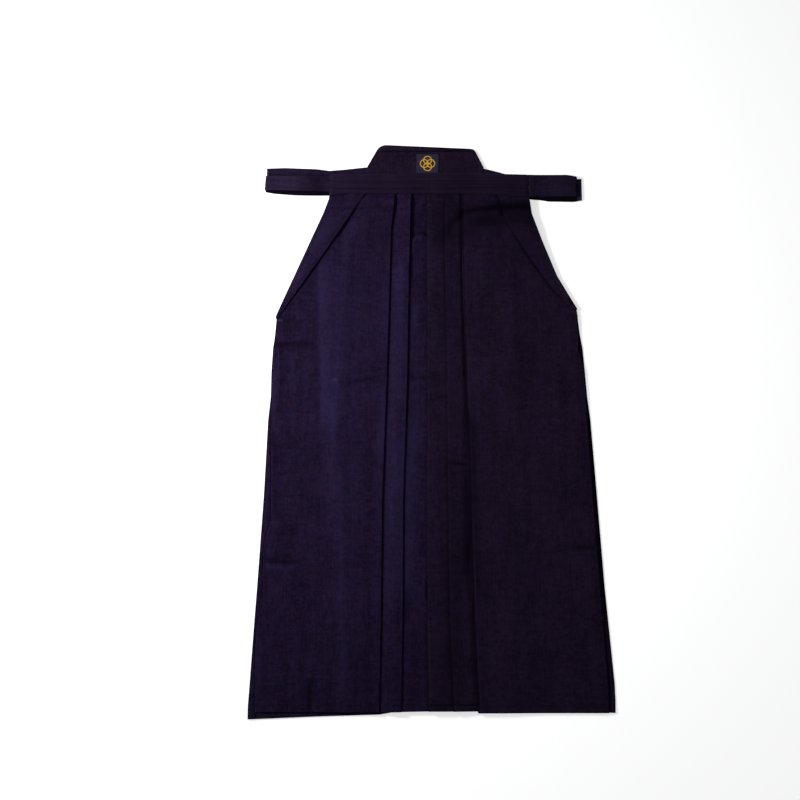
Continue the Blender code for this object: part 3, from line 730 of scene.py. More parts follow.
def front_right_path(s):
    """From the right side to the centre seam, through three pleats."""
    r = FOLD_RADIUS
    path = Path(len(s.y))
    path.run(SIDES.at(s.y, "front_right"), s.fifth + r, 60, s.right_panel)
    path.pleat(s.fifth, s.fifth_inner, -1, s.right_panel, s.fourth_strip, 8, 6)
    path.run(s.fifth + FINE_START, s.fourth + r, 28, s.fourth_strip, dense=0.75)
    path.pleat(s.fourth, s.fourth_inner, -1, s.fourth_strip, s.third_strip, 7, 5)
    path.run(s.fourth + FINE_START, s.third + r, 28, s.third_strip, dense=0.75)
    path.fold(s.third, -1, (s.third_strip, 0), (s.second_strip, LAYER))
    path.add(s.third + r, s.second_strip(s.third + r) + LAYER)
    # The seam: down over the left panel's edge, and to the right back below the crotch
    wall = s.seam + LEG_SEAM_GAP + 0.5 * MM
    top = s.second_strip(s.seam) + LAYER
    low = BACK_FLOOR + LAYER + 0.8 * MM
    foot = top - LAYER
    foot = foot + (low - foot) * ramp(s.y, CROTCH + CROTCH_BLEND, CROTCH)
    path.add(s.seam - 0.5 * MM, top)
    path.add(wall - 0.1 * MM, top - 0.25 * MM)
    path.add(wall, top - 0.7 * MM)
    path.add(wall, foot)
    return path


def back_left_path(s):
    """From the left side over the back pleat to the centre seam."""
    path = Path(len(s.y))
    edge = SIDES.at(s.y, "back_left")
    path.run(edge, edge + SIDE_STRIP, 18, s.left_back, dense=0.4)
    path.run(edge + SIDE_STRIP + 3 * MM, s.third - 13 * MM, 36, s.left_back, dense=0)
    path.run(s.third - 12 * MM, s.seam, 14, s.left_back, dense=0)
    return path


def back_right_path(s):
    """From the right side to the back pleat's fold, and under it to the seam."""
    path = Path(len(s.y))
    turn = s.back_fold + FOLD_RADIUS

    def floor(x):
        return BACK_FLOOR + 0 * x

    edge = SIDES.at(s.y, "back_right")
    path.run(edge, edge - SIDE_STRIP, 18, floor, dense=0.4)
    path.run(edge - SIDE_STRIP - 3 * MM, turn, 38, floor, dense=0.3)
    path.fold(s.back_fold, -1, (floor, 0), (floor, LAYER))
    path.run(turn, s.seam + LEG_SEAM_LAP, 5, floor, LAYER)
    return path


def row_places(top):
    """Distances y of the rows, from the waist to the hem."""
    places = [*np.arange(LIFT_END + WAIST_STEP, FRONT_TOP - WAIST_STEP / 2, WAIST_STEP)]
    places += [*np.arange(HEM_ROWS_FROM + LEG_STEP, LIFT_END, LEG_STEP)]
    places += [*np.arange(HEM, HEM_ROWS_FROM, HEM_STEP)]
    return np.array([top] + sorted(places, reverse=True))


def run_length(x, y, z):
    """Length along each row of points, measured from its first column."""
    steps = np.sqrt(np.diff(x, axis=1) ** 2 + np.diff(y, axis=1) ** 2
                    + np.diff(z, axis=1) ** 2)
    return np.concatenate([np.zeros((len(x), 1)), np.cumsum(steps, axis=1)], axis=1)


def quads(rows, columns, first=0):
    """Corner numbers of the faces between rows and columns of points."""
    index = first + np.arange(rows * columns).reshape(rows, columns)
    faces = np.stack([index[:-1, :-1], index[:-1, 1:], index[1:, 1:], index[1:, :-1]], -1)
    return faces.reshape(-1, 4)


def make_mesh(name, points, faces, uv, wear_and_shading):
    """A piece with smooth faces, its grain as a UV map, and its wear and painted shading as an
    attribute.
    """
    mesh = bpy.data.meshes.new(name)
    mesh.from_pydata(points.tolist(), [], faces.tolist())
    mesh.update()
    grain = mesh.uv_layers.new(name="grain")
    corner = np.array([loop.vertex_index for loop in mesh.loops])
    grain.data.foreach_set("uv", uv[corner].ravel())
    worn = mesh.attributes.new("wear_and_shading", "FLOAT", "POINT")
    worn.data.foreach_set("value", wear_and_shading.ravel())
    mesh.shade_smooth()
    piece = bpy.data.objects.new(name, mesh)
    bpy.context.scene.collection.objects.link(piece)
    return piece


def cloth_sheet(name, x, y, z, wall, folds=(), grain_from=0, turn_faces=False,
                edge_wear=(), dye_and_shading=0, fold_wear=0.35, edge_share=0.15):
    """An open sheet through rows of points, given its wall; says its size in metres."""
    rows, columns = x.shape
    length = run_length(x, y, z)
    wear_and_shading = np.zeros(x.shape)
    for worn, amount, reach in ((folds, fold_wear, FOLD_WEAR_REACH),
                                (edge_wear, edge_share, EDGE_WEAR_REACH)):
        for column in worn:
            gap = np.abs(length - length[:, column:column + 1])
            wear_and_shading = np.maximum(wear_and_shading, amount * falloff(gap, reach))
    # Dye differences, painted shade and painted highlights join the wear
    wear_and_shading = wear_and_shading + dye_and_shading
    across = length - length[:, grain_from:grain_from + 1]
    offset = (sum(ord(letter) for letter in name) % 17) * 0.31
    uv = np.stack([across + offset, y + 0.5 * offset], -1).reshape(-1, 2)
    points = np.stack([x, y, z], -1).reshape(-1, 3)
    faces = quads(rows, columns)
    if turn_faces:
        faces = faces[:, ::-1]
    piece = make_mesh(name, points, faces, uv, wear_and_shading)
    solid = piece.modifiers.new("wall", "SOLIDIFY")
    solid.thickness = wall
    solid.offset = 0
    corners = points[faces]
    area = np.linalg.norm(np.cross(corners[:, 2] - corners[:, 0],
                                   corners[:, 3] - corners[:, 1]), axis=1).sum() / 2
    size = (float(length[:, -1].max()), float(y.max() - y.min()))
    return piece, size, float(area)


def pleat_light_and_shade(layers, x):
    """The pleats' painted shadow lines and painted highlights on their rims."""
    y = layers.y[:, None]
    paler_share = PLEAT_RIM_LEAST + (1 - PLEAT_RIM_LEAST) * ramp(y, *PLEAT_HIGHLIGHT_RISE)
    total = 0
    for fold, (dark, lost, place, rim, rim_place) in PLEAT_SHADING.items():
        beside = x - getattr(layers, fold)[:, None]
        gap = beside - place
        reach = np.where(gap < 0, PLEAT_LINE_LEFT, PLEAT_LINE_RIGHT)
        kept = 1 - lost * ramp(y, *PLEAT_LINE_LOSS)
        total = total + dark * kept * falloff(gap, reach)
        total = total + rim * paler_share * falloff(beside - rim_place, PLEAT_RIM_REACH)
    return total


def back_edge_shade(side, out, y):
    """Painted shade on the back where it shows beside the front, out from the middle."""
    outer = np.abs(SIDES.at(y, "back_" + side))[:, None]
    inner = np.abs(SIDES.at(y, "front_" + side))[:, None]
    places, amounts = zip(*SIDE_LINE[side])
    line = np.interp(y / MM, places, amounts)[:, None]
    dark = BACK_RIM_SHADE * falloff(outer - out, BACK_RIM_REACH)
    if side == "right":
        outward = ramp(out, inner, outer) * ramp(y, *BACK_STRIP_DARK)[:, None]
        dark = dark + BACK_STRIP_SHADE * outward
    dark = dark + line * falloff(out - inner, SIDE_LINE_REACH)
    return -dark * ramp(y, *BELOW_SLIT)[:, None]


def panel(name, path_of):
    """One leg panel with its folds, creases and hem."""
    side = name.split("_")[0]
    y = row_places(FRONT_TOP if side == "front" else BACK_TOP)
    layers = Layers(y)
    path = path_of(layers)
    x = np.array(path.x).T
    z = np.array(path.z).T
    shift = (HEMS.at(x, side) - HEM) * ramp(y, HEM_BLEND, HEM)[:, None]
    place = y[:, None] + shift
    relief = front_relief if side == "front" else rolled_relief
    z = z + relief(x, place) + hem_relief(y)[:, None]
    grain_from = path.folds[0] if path.folds else 0
    turned = x[0, 0] > 0
    if side == "front":
        drawn = ramp(x, *HEM_DRAWN_FROM) * ramp(x, *HEM_DRAWN_TO)
        sewn = bell(y[:, None] - HEM - HEM_DEPTH, 1.3 * MM)
        # Painted shade and highlights along creases and pleats, dye rubbed paler along some
        # crease ridges, and a darker hem line
        dye_and_shading = creased(FADING_AND_SHADING, x, place) + pleat_light_and_shade(layers, x)
        dye_and_shading = dye_and_shading - (HEM_LINE_DARKER + HEM_DRAWN_DARKER * drawn) * sewn
    else:
        # Painted shade along the back where it shows beside the front
        dye_and_shading = back_edge_shade("right" if turned else "left", np.abs(x), y)
    worn = LEFT_FOLD_WEAR if name == "front_left" else 0.0
    return cloth_sheet("cloth_" + name, x, place, z, WALL, path.folds, grain_from, turned,
                       (0,), dye_and_shading, worn)


def fold_crown(side, y, share, wide):
    """How far a side fold stands up at this share of its width, outer edge to inner."""
    crown = SIDE_FOLD_CROWN[side] * ramp(wide, 0, 30 * MM) * ramp(y, 436 * MM, 415 * MM)
    return crown * (1 - (1 - share) ** 2 - 0.4 * share ** 2)


def side_fold(side):
    """The slanted strip beside a side slit, turned round the panel's edge."""
    edge_name = "front_" + side
    sign = SIDE_SIGNS[side]
    y = np.linspace(FRONT_TOP, SIDE_FOLD_ENDS[side], 78)
    layers = Layers(y)
    height = layers.left_panel if side == "left" else layers.right_panel
    outer = SIDES.at(y, edge_name)
    inner = SIDE_FOLDS.at(y, side)
    columns_x = [outer + sign * 0.35 * MM, outer + sign * 0.9 * MM, outer + sign * 0.7 * MM]
    columns_z = [height(outer) + 0.15 * LAYER, height(outer) + 0.55 * LAYER,
                 height(outer) + 0.95 * LAYER]
    wide = np.abs(inner - outer)
    for share in end_dense(20, 0.5):
        x = outer + (inner - outer) * share
        columns_x.append(x)
        columns_z.append(height(x) + LAYER + fold_crown(side, y, share, wide))
    x = np.array(columns_x).T
    z = np.array(columns_z).T
    place = np.repeat(y[:, None], x.shape[1], axis=1)
    z = z + front_relief(np.clip(x, outer.min(), outer.max()), place)
    hemmed = np.abs(x - inner[:, None])
    z = z - 0.18 * MM * bell(hemmed - SIDE_FOLD_SEAM, 1.2 * MM)
    # Painted shade and highlights, and rubbed dye, along the front's lines
    return cloth_sheet("cloth_side_fold_" + side, x, place, z, WALL, (), 1,
                       side == "right", (1,), creased(FADING_AND_SHADING, x, place))


def band_height(x):
    """Smooth height of the band over the pleats, never below them."""
    layers = Layers(np.array([450 * MM]))
    steps = np.linspace(-12, 12, 7) * MM
    tops = np.array([[layers.visible_top(x + u + v) for v in steps] for u in steps])
    return tops.max(axis=1).mean(axis=0) + LAYER + BAND_SLACK


def band_row(row, x):
    """A row of the band's stitching, which wanders a little."""
    return row + 0.6 * MM * np.sin(x / (60 * MM))


def band_relief(x, y):
    """Rows of stitching sink into the band and pucker it."""
    total = BAND_WAVE * np.sin(x / (23 * MM) + 1.1) * np.sin(x / (9.5 * MM))
    total = total * ramp(y, BAND_FOOT, BAND_FOOT + 8 * MM)
    turn = 2 * math.pi * x / BAND_PUCKER_LENGTH
    pucker = BAND_PUCKER * np.sin(turn + 1.7 * np.sin(x / (31 * MM)))
    for row in BAND_STITCHING:
        gap = y - band_row(row, x)
        total = total - BAND_GROOVE * bell(gap, BAND_GROOVE_REACH)
        total = total + pucker * bell(gap, BAND_PUCKER_REACH)
    return total + BAND_EASE


def band_surface(x, y):
    """Height of the middle of the band's wall on its upper side."""
    return band_height(x) + band_relief(x, y)


def build_band():
    """The front band, from its foot over the front's top and back under it."""
    count = round((BAND_RIGHT - BAND_LEFT) / BAND_STEP) + 1
    x = np.linspace(BAND_LEFT, BAND_RIGHT, count)
    foot = BAND.at(x, "foot")
    radius = (band_height(x) + BAND_EASE - BAND_UNDER) / 2
    turn = BAND.at(x, "top") - radius
    ends = BAND_END_DROP * ramp(np.minimum(x - BAND_LEFT, BAND_RIGHT - x), 6 * MM, 0)
    columns_y = []
    columns_z = []
    for share in end_dense(26, 0.35):
        y = foot + (turn - foot) * share
        columns_y.append(y)
        edge = 0.5 * MM * (1 - ramp(share * (turn - foot), 0, 2.2 * MM))
        columns_z.append(band_surface(x, y) - edge - ends)
    top = columns_z[-1]
    radius = (top - BAND_UNDER) / 2
    for step in range(1, BAND_TURN_STEPS):
        angle = math.pi * step / BAND_TURN_STEPS
        columns_y.append(turn + radius * math.sin(angle))
        columns_z.append(BAND_UNDER + radius * (1 + math.cos(angle)))
    for share in np.linspace(0, 1, 6):
        columns_y.append(turn + (BAND_UNDER_FOOT - turn) * share)
        columns_z.append(BAND_UNDER + 0 * x)
    y = np.array(columns_y).T
    z = np.array(columns_z).T
    wide = np.repeat(x[:, None], y.shape[1], axis=1)
    dye_and_shading = 0.14 * ramp(wide, *BAND_PALER) - 0.15 * ramp(y, *BAND_DARKER)
    # Painted shade just below each stitched groove
    for row in BAND_STITCHING:
        gap = y - band_row(row, wide) + 1.2 * MM
        dye_and_shading = dye_and_shading - BAND_GROOVE_SHADE * bell(gap, BAND_GROOVE_REACH)
    piece, _, area = cloth_sheet("cloth_front_band", wide, y, z, WALL, (), 0, False,
                                 (0, 30), dye_and_shading)
    across = run_length(wide, y, z)[:, -1].max()
    return piece, (float(BAND_RIGHT - BAND_LEFT), float(across)), area


def tie_shading_and_tone(name, x, y, fold, hidden):
    """Painted shade on a tie's rim and where ties touch, a back tie's paler fold and painted
    light on its outer strip, and a front tie's painted light and shade along its loop.
    """
    over = TIES[name]["over"]
    # Painted shade along the upper rim
    rim = TIE_TONE_AND_SHADING["rim"] * falloff(np.maximum(over.at(x, "top") - y, 0), TIE_RIM_REACH)
    # A back tie: painted shadow where the front tie lies on it, a paler turned end, and painted
    # light on the outer strip
    if name.startswith("back"):
        front = TIES["front" + name[4:]]
        reach = abs(front["fold"]) * MM
        covered = ramp(np.abs(x), reach + 2.5 * MM, reach)
        touching = falloff(np.maximum(y - front["over"].at(x, "top"), 0), TIE_CONTACT_REACH)
        contact = covered * touching * (1 - 0.4 * ramp(x, *TIE_CONTACT_LESS))
        turned = ramp(np.abs(x), abs(fold) - 2 * MM, abs(fold) - 0.5 * MM)
        return (TIE_TONE_AND_SHADING["contact"] * contact + TIE_TONE_AND_SHADING["turned"] * turned
                + TIE_TONE_AND_SHADING["outer"] * ramp(x, *TIE_OUTER) + rim)
    foot = over.at(x, "bottom")
    # Painted shade on what shows of the hidden part below
    dye_and_shading = TIE_TONE_AND_SHADING["lower"] * hidden * ramp(y, foot + 1 * MM, foot)
    dye_and_shading = dye_and_shading + LOOP_TONE_AND_SHADING[name].at(x, "amount") / MM
    if name == "front_tie_right":
        return dye_and_shading + rim
    streak = TIE_TONE_AND_SHADING["streak"] * np.sin(y / (1.9 * MM) + x / (40 * MM))
    # Painted shade near the band's end
    near_band = TIE_TONE_AND_SHADING["near_band"] * bell(x + 204 * MM, 15 * MM)
    return dye_and_shading + streak * ramp(x, *TIE_STREAKED) + near_band


def build_tie(name):
    """A tie, out to its fold and back behind, with a soft crown and sewn edges."""
    tie = TIES[name]
    over, under = tie["heights"]
    side = 1 if tie["fold"] > tie["start"] else -1
    start, fold, end, bulge = (tie[k] * MM for k in ("start", "fold", "end", "bulge"))
    radius = (over + bulge - under) / 2
    turn = fold - side * radius
    joined = over == FRONT_TIE_OVER
    line = []
    for x in np.linspace(start, turn, max(4, round(abs(turn - start) / TIE_STEP))):
        rise = (FRONT_TIE_START - over) * joined * ramp(abs(x - start), FRONT_TIE_SLOPE, 0)
        line.append((x, over + rise + bulge * bell(x - turn, TIE_BULGE_REACH), "over"))
    for step in range(1, TIE_TURN_STEPS):
        angle = math.pi * step / TIE_TURN_STEPS
        height = (over + bulge + under) / 2 + radius * math.cos(angle)
        line.append((turn + side * radius * math.sin(angle), height, "over"))
    for x in np.linspace(turn, end, max(4, round(abs(turn - end) / TIE_STEP))):
        line.append((x, under, "under"))
    shares = end_dense(13, 0.55)
    x = np.zeros((len(line), len(shares)))
    y = np.zeros(x.shape)
    z = np.zeros(x.shape)
    for row, (place, height, stretch) in enumerate(line):
        top = tie[stretch].at(place, "top")
        bottom = tie[stretch].at(place, "bottom")
        near = ramp(abs(place - fold), TIE_WIDTH, 0)
        x[row] = place + tie["slant"] * MM * near * shares
        y[row] = top + shares * (bottom - top)
        z[row] = height
    edge = np.minimum(shares, 1 - shares)[None, :] * TIE_WIDTH
    crown = TIE_CROWN * ramp(edge, 0, 3 * MM)
    groove = TIE_GROOVE * bell(edge - 2.6 * MM, 0.9 * MM)
    waves = TIE_WAVE * np.sin(x / (13 * MM) + y / (7 * MM)) * ramp(edge, 1 * MM, 8 * MM)
    z = z + crown - groove + waves - 0.1 * MM
    run = run_length(x.T, y.T, z.T)
    hidden = np.array([[stretch == "under"] for _, _, stretch in line])
    # The hidden part is painted in shade
    dye_and_shading = TIE_TONE_AND_SHADING["under"] * hidden + tie_shading_and_tone(name, x, y, fold, hidden)
    piece, size, area = cloth_sheet("cloth_" + name, x, y, z, TIE_WALL, (), 0, side == -1,
                                    (0, x.shape[1] - 1), dye_and_shading)
    grain = piece.data.uv_layers["grain"]
    uv = np.zeros(len(grain.data) * 2)
    grain.data.foreach_get("uv", uv)
    corner = np.array([loop.vertex_index for loop in piece.data.loops])
    pairs = uv.reshape(-1, 2)
    pairs[:, 1] = run.T.ravel()[corner]
    grain.data.foreach_set("uv", pairs.ravel())
    return piece, (float(run[:, -1].max()), float(size[0])), area


def along(line, shares):
    """Points at these shares of a line's length."""
    line = np.array(line, float)
    steps = np.hypot(*np.diff(line, axis=0).T)
    places = np.concatenate([[0], np.cumsum(steps)]) / steps.sum()
    return np.stack([np.interp(shares, places, line[:, i]) for i in (0, 1)], -1)


def rounded(corner, before, after, radius):
    """Points of an arc that rounds a corner, from one side to the other."""
    corner, before, after = (np.array(p, float) for p in (corner, before, after))
    start = corner + (before - corner) * radius / np.linalg.norm(before - corner)
    end = corner + (after - corner) * radius / np.linalg.norm(after - corner)
    points = []
    for t in np.linspace(0, 1, 9):
        points.append((1 - t) ** 2 * start + 2 * t * (1 - t) * corner + t ** 2 * end)
    return points


def patch_grid(foot, right, top, left, columns, rows):
    """Points that fill four sides, which run from left to right and upward."""
    u = end_dense(columns, 0.75)[:, None, None]
    v = end_dense(rows, 0.75)[None, :, None]
    low = along(foot, end_dense(columns, 0.75))[:, None]
    high = along(top, end_dense(columns, 0.75))[:, None]
    near = along(left, end_dense(rows, 0.75))[None]
    far = along(right, end_dense(rows, 0.75))[None]
    corners = ((1 - u) * (1 - v) * low[:1] + u * (1 - v) * low[-1:]
               + (1 - u) * v * high[:1] + u * v * high[-1:])
    return (1 - v) * low + v * high + (1 - u) * near + u * far - corners


def slab(name, grid, floor, top, under, dye_and_shading=0, edge_share=0.3):
    """A closed piece over a grid of points, between its upper and lower heights."""
    columns, rows = grid.shape[:2]
    flat = grid.reshape(-1, 2)
    upper = np.column_stack([flat, (floor + top).ravel()])
    lower = np.column_stack([flat, (floor + under).ravel()])
    count = len(flat)
    index = np.arange(count).reshape(columns, rows)
    ring = np.concatenate([index[:, 0], index[-1, 1:], index[-2::-1, -1], index[0, -2:0:-1]])
    after = np.roll(ring, -1)
    sides = np.stack([ring + count, after + count, after, ring], -1)
    faces = np.concatenate([quads(columns, rows)[:, ::-1], quads(columns, rows, count),
                            sides])
    points = np.concatenate([upper, lower])
    uv = np.concatenate([flat, flat + 0.07])
    wear_and_shading = np.zeros(len(points))
    wear_and_shading[:count] += (dye_and_shading + 0 * grid[..., 0]).ravel()
    wear_and_shading[ring] = edge_share
    wear_and_shading[ring + count] = edge_share
    return make_mesh(name, points, faces, uv, wear_and_shading)


def edge_distance(grid):
    """Distance of each point of a grid from the grid's outline."""
    outline = np.concatenate([grid[:, 0], grid[-1], grid[::-1, -1], grid[0, ::-1]])
    gaps = np.linalg.norm(grid[:, :, None] - outline[None, None], axis=-1)
    return gaps.min(axis=2)


def line_distance(line, x, y):
    """Distance of points from a line of millimetre places."""
    points = np.array(line, float) * MM
    nearest = np.full(np.shape(x), np.inf)
    for a, b in zip(points, points[1:]):
        way = (b - a) / np.linalg.norm(b - a)
        place = np.clip((x - a[0]) * way[0] + (y - a[1]) * way[1], 0,
                        np.linalg.norm(b - a))
        gap = np.hypot(x - a[0] - place * way[0], y - a[1] - place * way[1])
        nearest = np.minimum(nearest, gap)
    return nearest


def rim_drop(edge, reach, depth):
    """How far a rounded rim lies below the flat, at these distances from its edge."""
    rim = 1 - np.clip(edge / reach, 0, 1)
    return depth * (1 - np.sqrt(1 - RIM_STEEPNESS * rim ** 2))


def board_top(x, y, edge):
    """Height of the board's upper side above its foot plane."""
    rounding = rim_drop(edge, 1.4 * MM, 1.1 * MM)
    groove = 0.5 * MM * bell(line_distance(BOARD_STITCHING, x, y), 1.2 * MM)
    waves = 0.10 * MM * np.sin(x / (19 * MM) + 0.7) * np.sin(y / (11 * MM))
    return BOARD_WALL - rounding - groove + waves * np.clip(edge / (6 * MM), 0, 1)


def build_board():
    """The stiff board, its cloth drawn round the edges."""
    low_left, waist_left, high_left = BOARD["left"]
    low_right, waist_right, high_right = BOARD["right"]
    left_arc = rounded(high_left, waist_left, high_right, BOARD["left_round"])
    right_arc = rounded(high_right, waist_right, high_left, BOARD["right_round"])
    left = [low_left, waist_left, *left_arc[:5]]
    right = [low_right, waist_right, *right_arc[:5]]
    top = [*left_arc[4:], *right_arc[:3:-1]]
    grid = patch_grid(BOARD["foot"], right, top, left, 96, 80) * MM
    edge = edge_distance(grid)
    upper = board_top(grid[..., 0], grid[..., 1], edge)
    under = rim_drop(edge, 1.0 * MM, 0.8 * MM) + 0.05 * MM
    sewn = line_distance(BOARD_STITCHING, grid[..., 0], grid[..., 1])
    strip = (0.22 * ramp(grid[..., 0], *BOARD_STRIP_PALE)
             - 0.45 * ramp(grid[..., 0], *BOARD_STRIP_DARK))
    dye_and_shading = -1.5 * bell(sewn, 1.1 * MM) - 0.7 * falloff(edge, 0.9 * MM)
    dye_and_shading = dye_and_shading + ramp(grid[..., 1], *BOARD_STRIP) * strip
    return slab("cloth_back_board", grid, 0.0, upper, under, dye_and_shading, -0.4)


def build_label():
    """The woven patch, its edges turned under and drawn down by stitches."""
    half_x = PATCH["width"] / 2
    half_y = PATCH["height"] / 2
    box = [(-half_x, -half_y), (half_x, -half_y), (half_x, half_y), (-half_x, half_y)]
    grid = patch_grid(box[:2], [box[1], box[2]], [box[3], box[2]], [box[0], box[3]], 40, 36)
    draw = 0.25 * MM * np.sin(grid[..., 1] / (5 * MM)) * np.abs(grid[..., 0]) / half_x
    grid = grid + np.stack([draw, 0 * draw], -1) + np.array([PATCH["x"], PATCH["y"]])
    edge = edge_distance(grid)
    top = PATCH_WALL - rim_drop(edge, 0.8 * MM, 0.35 * MM)
    groove = 0.2 * MM * bell(edge - 2 * MM, 0.6 * MM)
    return slab("cloth_label_patch", grid, PATCH_FLOOR, top - groove, 0 * top)


def fill(node, **sizes):
    """Sets a node's inputs, with _ for each space in a name."""
    for name, value in sizes.items():
        node.inputs[name.replace("_", " ")].default_value = value


class Nodes:
    """Short hand for the nodes of one material or geometry tree."""

    def __init__(self, tree):
        self.tree = tree

    def add(self, kind, **settings):
        node = self.tree.nodes.new(kind)
        for name, value in settings.items():
            setattr(node, name, value)
        return node

    def join(self, value, socket):
        """Joins an output to an input, or sets a plain value on it."""
        if isinstance(value, bpy.types.NodeSocket):
            self.tree.links.new(value, socket)
        else:
            socket.default_value = value

    def made(self, kind, inputs, **settings):
        """The first output of a new node with these inputs."""
        node = self.add(kind, **settings)
        for name, value in inputs.items():
            self.join(value, node.inputs[name])
        return node.outputs[0]

    def math(self, operation, a, b=None, clamp=False):
        inputs = {0: a} if b is None else {0: a, 1: b}
        return self.made("ShaderNodeMath", inputs, operation=operation, use_clamp=clamp)

    def times(self, a, b, clamp=False):
        return self.math("MULTIPLY", a, b, clamp)

    def plus(self, a, b, clamp=False):
        return self.math("ADD", a, b, clamp)

    def minus(self, a, b, clamp=False):
        return self.math("SUBTRACT", a, b, clamp)

    def noise(self, vector, stretch, detail, roughness=0.5, shift=(0, 0, 0)):
        place = self.made("ShaderNodeMapping",
                          {"Vector": vector, "Scale": stretch, "Location": shift})
        return self.made("ShaderNodeTexNoise", {"Vector": place, "Scale": 1,
                                                "Detail": detail, "Roughness": roughness})

    def blend(self, share, first, second):
        """Mixes two colours, each an output or three numbers."""
        first, second = ((*c, 1) if isinstance(c, tuple) else c for c in (first, second))
        mixed = self.made("ShaderNodeMix", {0: share, 6: first, 7: second},
                          data_type="RGBA")
        return mixed.node.outputs[2]

    def parts(self, vector):
        """The x and y of a vector."""
        return self.made("ShaderNodeSeparateXYZ", {0: vector}).node.outputs[:2]

    def finish(self, shader, colour, roughness, height, strength, distance):
        """Joins a surface's colour and roughness, and its relief over this distance."""
        bump = self.made("ShaderNodeBump", {"Strength": strength, "Distance": distance,
                                            "Height": height})
        self.join(colour, shader.inputs["Base Color"])
        self.join(roughness, shader.inputs["Roughness"])
        self.join(bump, shader.inputs["Normal"])


def start_material(name):
    material = bpy.data.materials.new(name)
    material.use_nodes = True
    nodes = Nodes(material.node_tree)
    return material, nodes, material.node_tree.nodes["Principled BSDF"]


def weave(n, u, v, pitch):
    """Height from 0 to 1 of a plain weave of warp and weft threads."""
    turn = math.pi / pitch
    across = n.math("SINE", n.times(u, turn))
    down = n.math("SINE", n.times(v, turn))
    picked = n.math("GREATER_THAN", n.times(across, down), 0.0)
    warp = n.times(n.math("ABSOLUTE", across), picked)
    weft = n.times(n.math("ABSOLUTE", down), n.minus(1.0, picked))
    return n.plus(warp, weft)


# What shades the cotton: the noise's stretch across and along the grain, its detail,
# roughness and place, and how much it counts. Fading scales the patches
COTTON_SHADES = {
    "streak": ((330, 24, 1), 4, 0.62, (0, 0, 0), 1.3),
    "broad": ((60, 5, 1), 3, 0.55, (3.1, 1.7, 0), 0.8),
    "slub": ((26, 430, 1), 3, 0.6, (1.3, 4.2, 0), 0.9),
    "mottle": ((190, 130, 1), 4, 0.65, (5.5, 0.7, 0), 1.9),
    "patches": ((15, 10, 1), 5, 0.6, (7.7, 2.2, 0), 1.3),
    "clouds": ((62, 78, 1), 5, 0.7, (8.8, 3.6, 0), 1.9),
    "bands": ((9, 105, 1), 4, 0.6, (6.1, 5.2, 0), 0.6),
    "flecks": ((800, 500, 1), 2, 0.7, (0.4, 9.1, 0), 1.2),
}
COTTON_ROUGHNESS = (0.74, 0.92)
BLUER = (0.78, 0.98, 1.20)
REDDER = (1.13, 0.95, 0.92)


# The cottons: the dark, the pale and the worn dye, which painted highlights also take, the
# pitch of the weave, and how far the dye has faded in patches
COTTONS = {
    "left": ("indigo cloth left", (0.0070, 0.0038, 0.0136), (0.0188, 0.0112, 0.0354),
             (0.0270, 0.0208, 0.0720), 0.75 * MM, 1.0),
    "right": ("indigo cloth right", (0.0088, 0.0046, 0.0132), (0.0188, 0.0112, 0.0294),
              (0.0280, 0.0180, 0.0450), 0.75 * MM, 1.0),
    "band": ("band cloth", (0.0100, 0.0053, 0.0138), (0.0216, 0.0122, 0.0298),
             (0.0270, 0.0200, 0.0600), 0.65 * MM, 1.1),
    "tie": ("tie cloth", (0.0104, 0.0062, 0.0170), (0.0205, 0.0130, 0.0340),
            (0.0340, 0.0240, 0.0560), 0.65 * MM, 0.7),
    "board": ("board cloth", (0.0096, 0.0052, 0.0138), (0.0208, 0.0122, 0.0288),
              (0.0270, 0.0170, 0.0380), 0.65 * MM, 1.0),
}


def cotton(name, dark, pale, worn, pitch, fade):
    """Indigo cotton: slubbed plain weave, faded patches, paler worn edges and painted
    highlights, and painted shade.
    """
    material, n, shader = start_material(name)
    grain = n.add("ShaderNodeUVMap", uv_map="grain").outputs[0]
    made = {}
    shade = 0.5
    for kind, (stretch, detail, roughness, place, amount) in COTTON_SHADES.items():
        made[kind] = n.noise(grain, stretch, detail, roughness, place)
        if kind == "patches":
            amount = amount * fade
        shade = n.plus(n.times(n.minus(made[kind], 0.5), amount), shade)
    threads = weave(n, *n.parts(grain), pitch)
    shade = n.plus(n.times(n.minus(threads, 0.6), 0.5), shade)
    shade = n.plus(shade, 0.0, clamp=True)
    hue = n.noise(grain, (75, 48, 1), 4, 0.7, (2.9, 6.3, 0))
    tinted = n.times(n.minus(hue, 0.38), 3.2, clamp=True)
    bluer, redder = (tuple(np.array(pale) * change) for change in (BLUER, REDDER))
    colour = n.blend(shade, dark, n.blend(tinted, redder, bluer))
    # Below 0 the attribute paints shade, towards a deep colour; above 0 it pales the cloth with
    # worn dye and painted highlights. Either way it is uneven
    wear_and_shading = n.add("ShaderNodeAttribute", attribute_name="wear_and_shading").outputs["Fac"]
    uneven = n.plus(n.times(made["mottle"], 0.9), 0.55)
    paler_share = n.times(wear_and_shading, uneven, clamp=True)
    kept = n.times(wear_and_shading, n.times(uneven, -1.0), clamp=True)
    deep = tuple(part * 0.3 for part in dark)
    colour = n.blend(kept, n.blend(paler_share, colour, worn), deep)
    fill(shader, Specular_IOR_Level=0.03, Specular_Tint=(0.62, 0.50, 1.0, 1),
         Sheen_Weight=0.03, Sheen_Roughness=0.5, Sheen_Tint=(0.35, 0.26, 0.65, 1))
    low, high = COTTON_ROUGHNESS
    roughness = n.plus(n.times(made["patches"], high - low), low)
    roughness = n.minus(roughness, n.times(threads, 0.06), clamp=True)
    height = n.plus(n.times(threads, 0.45), n.times(made["streak"], 0.9))
    height = n.plus(height, n.times(made["slub"], 0.5))
    height = n.plus(height, n.times(made["mottle"], 0.8))
    n.finish(shader, colour, roughness, height, 0.7, 0.35 * MM)
    return material


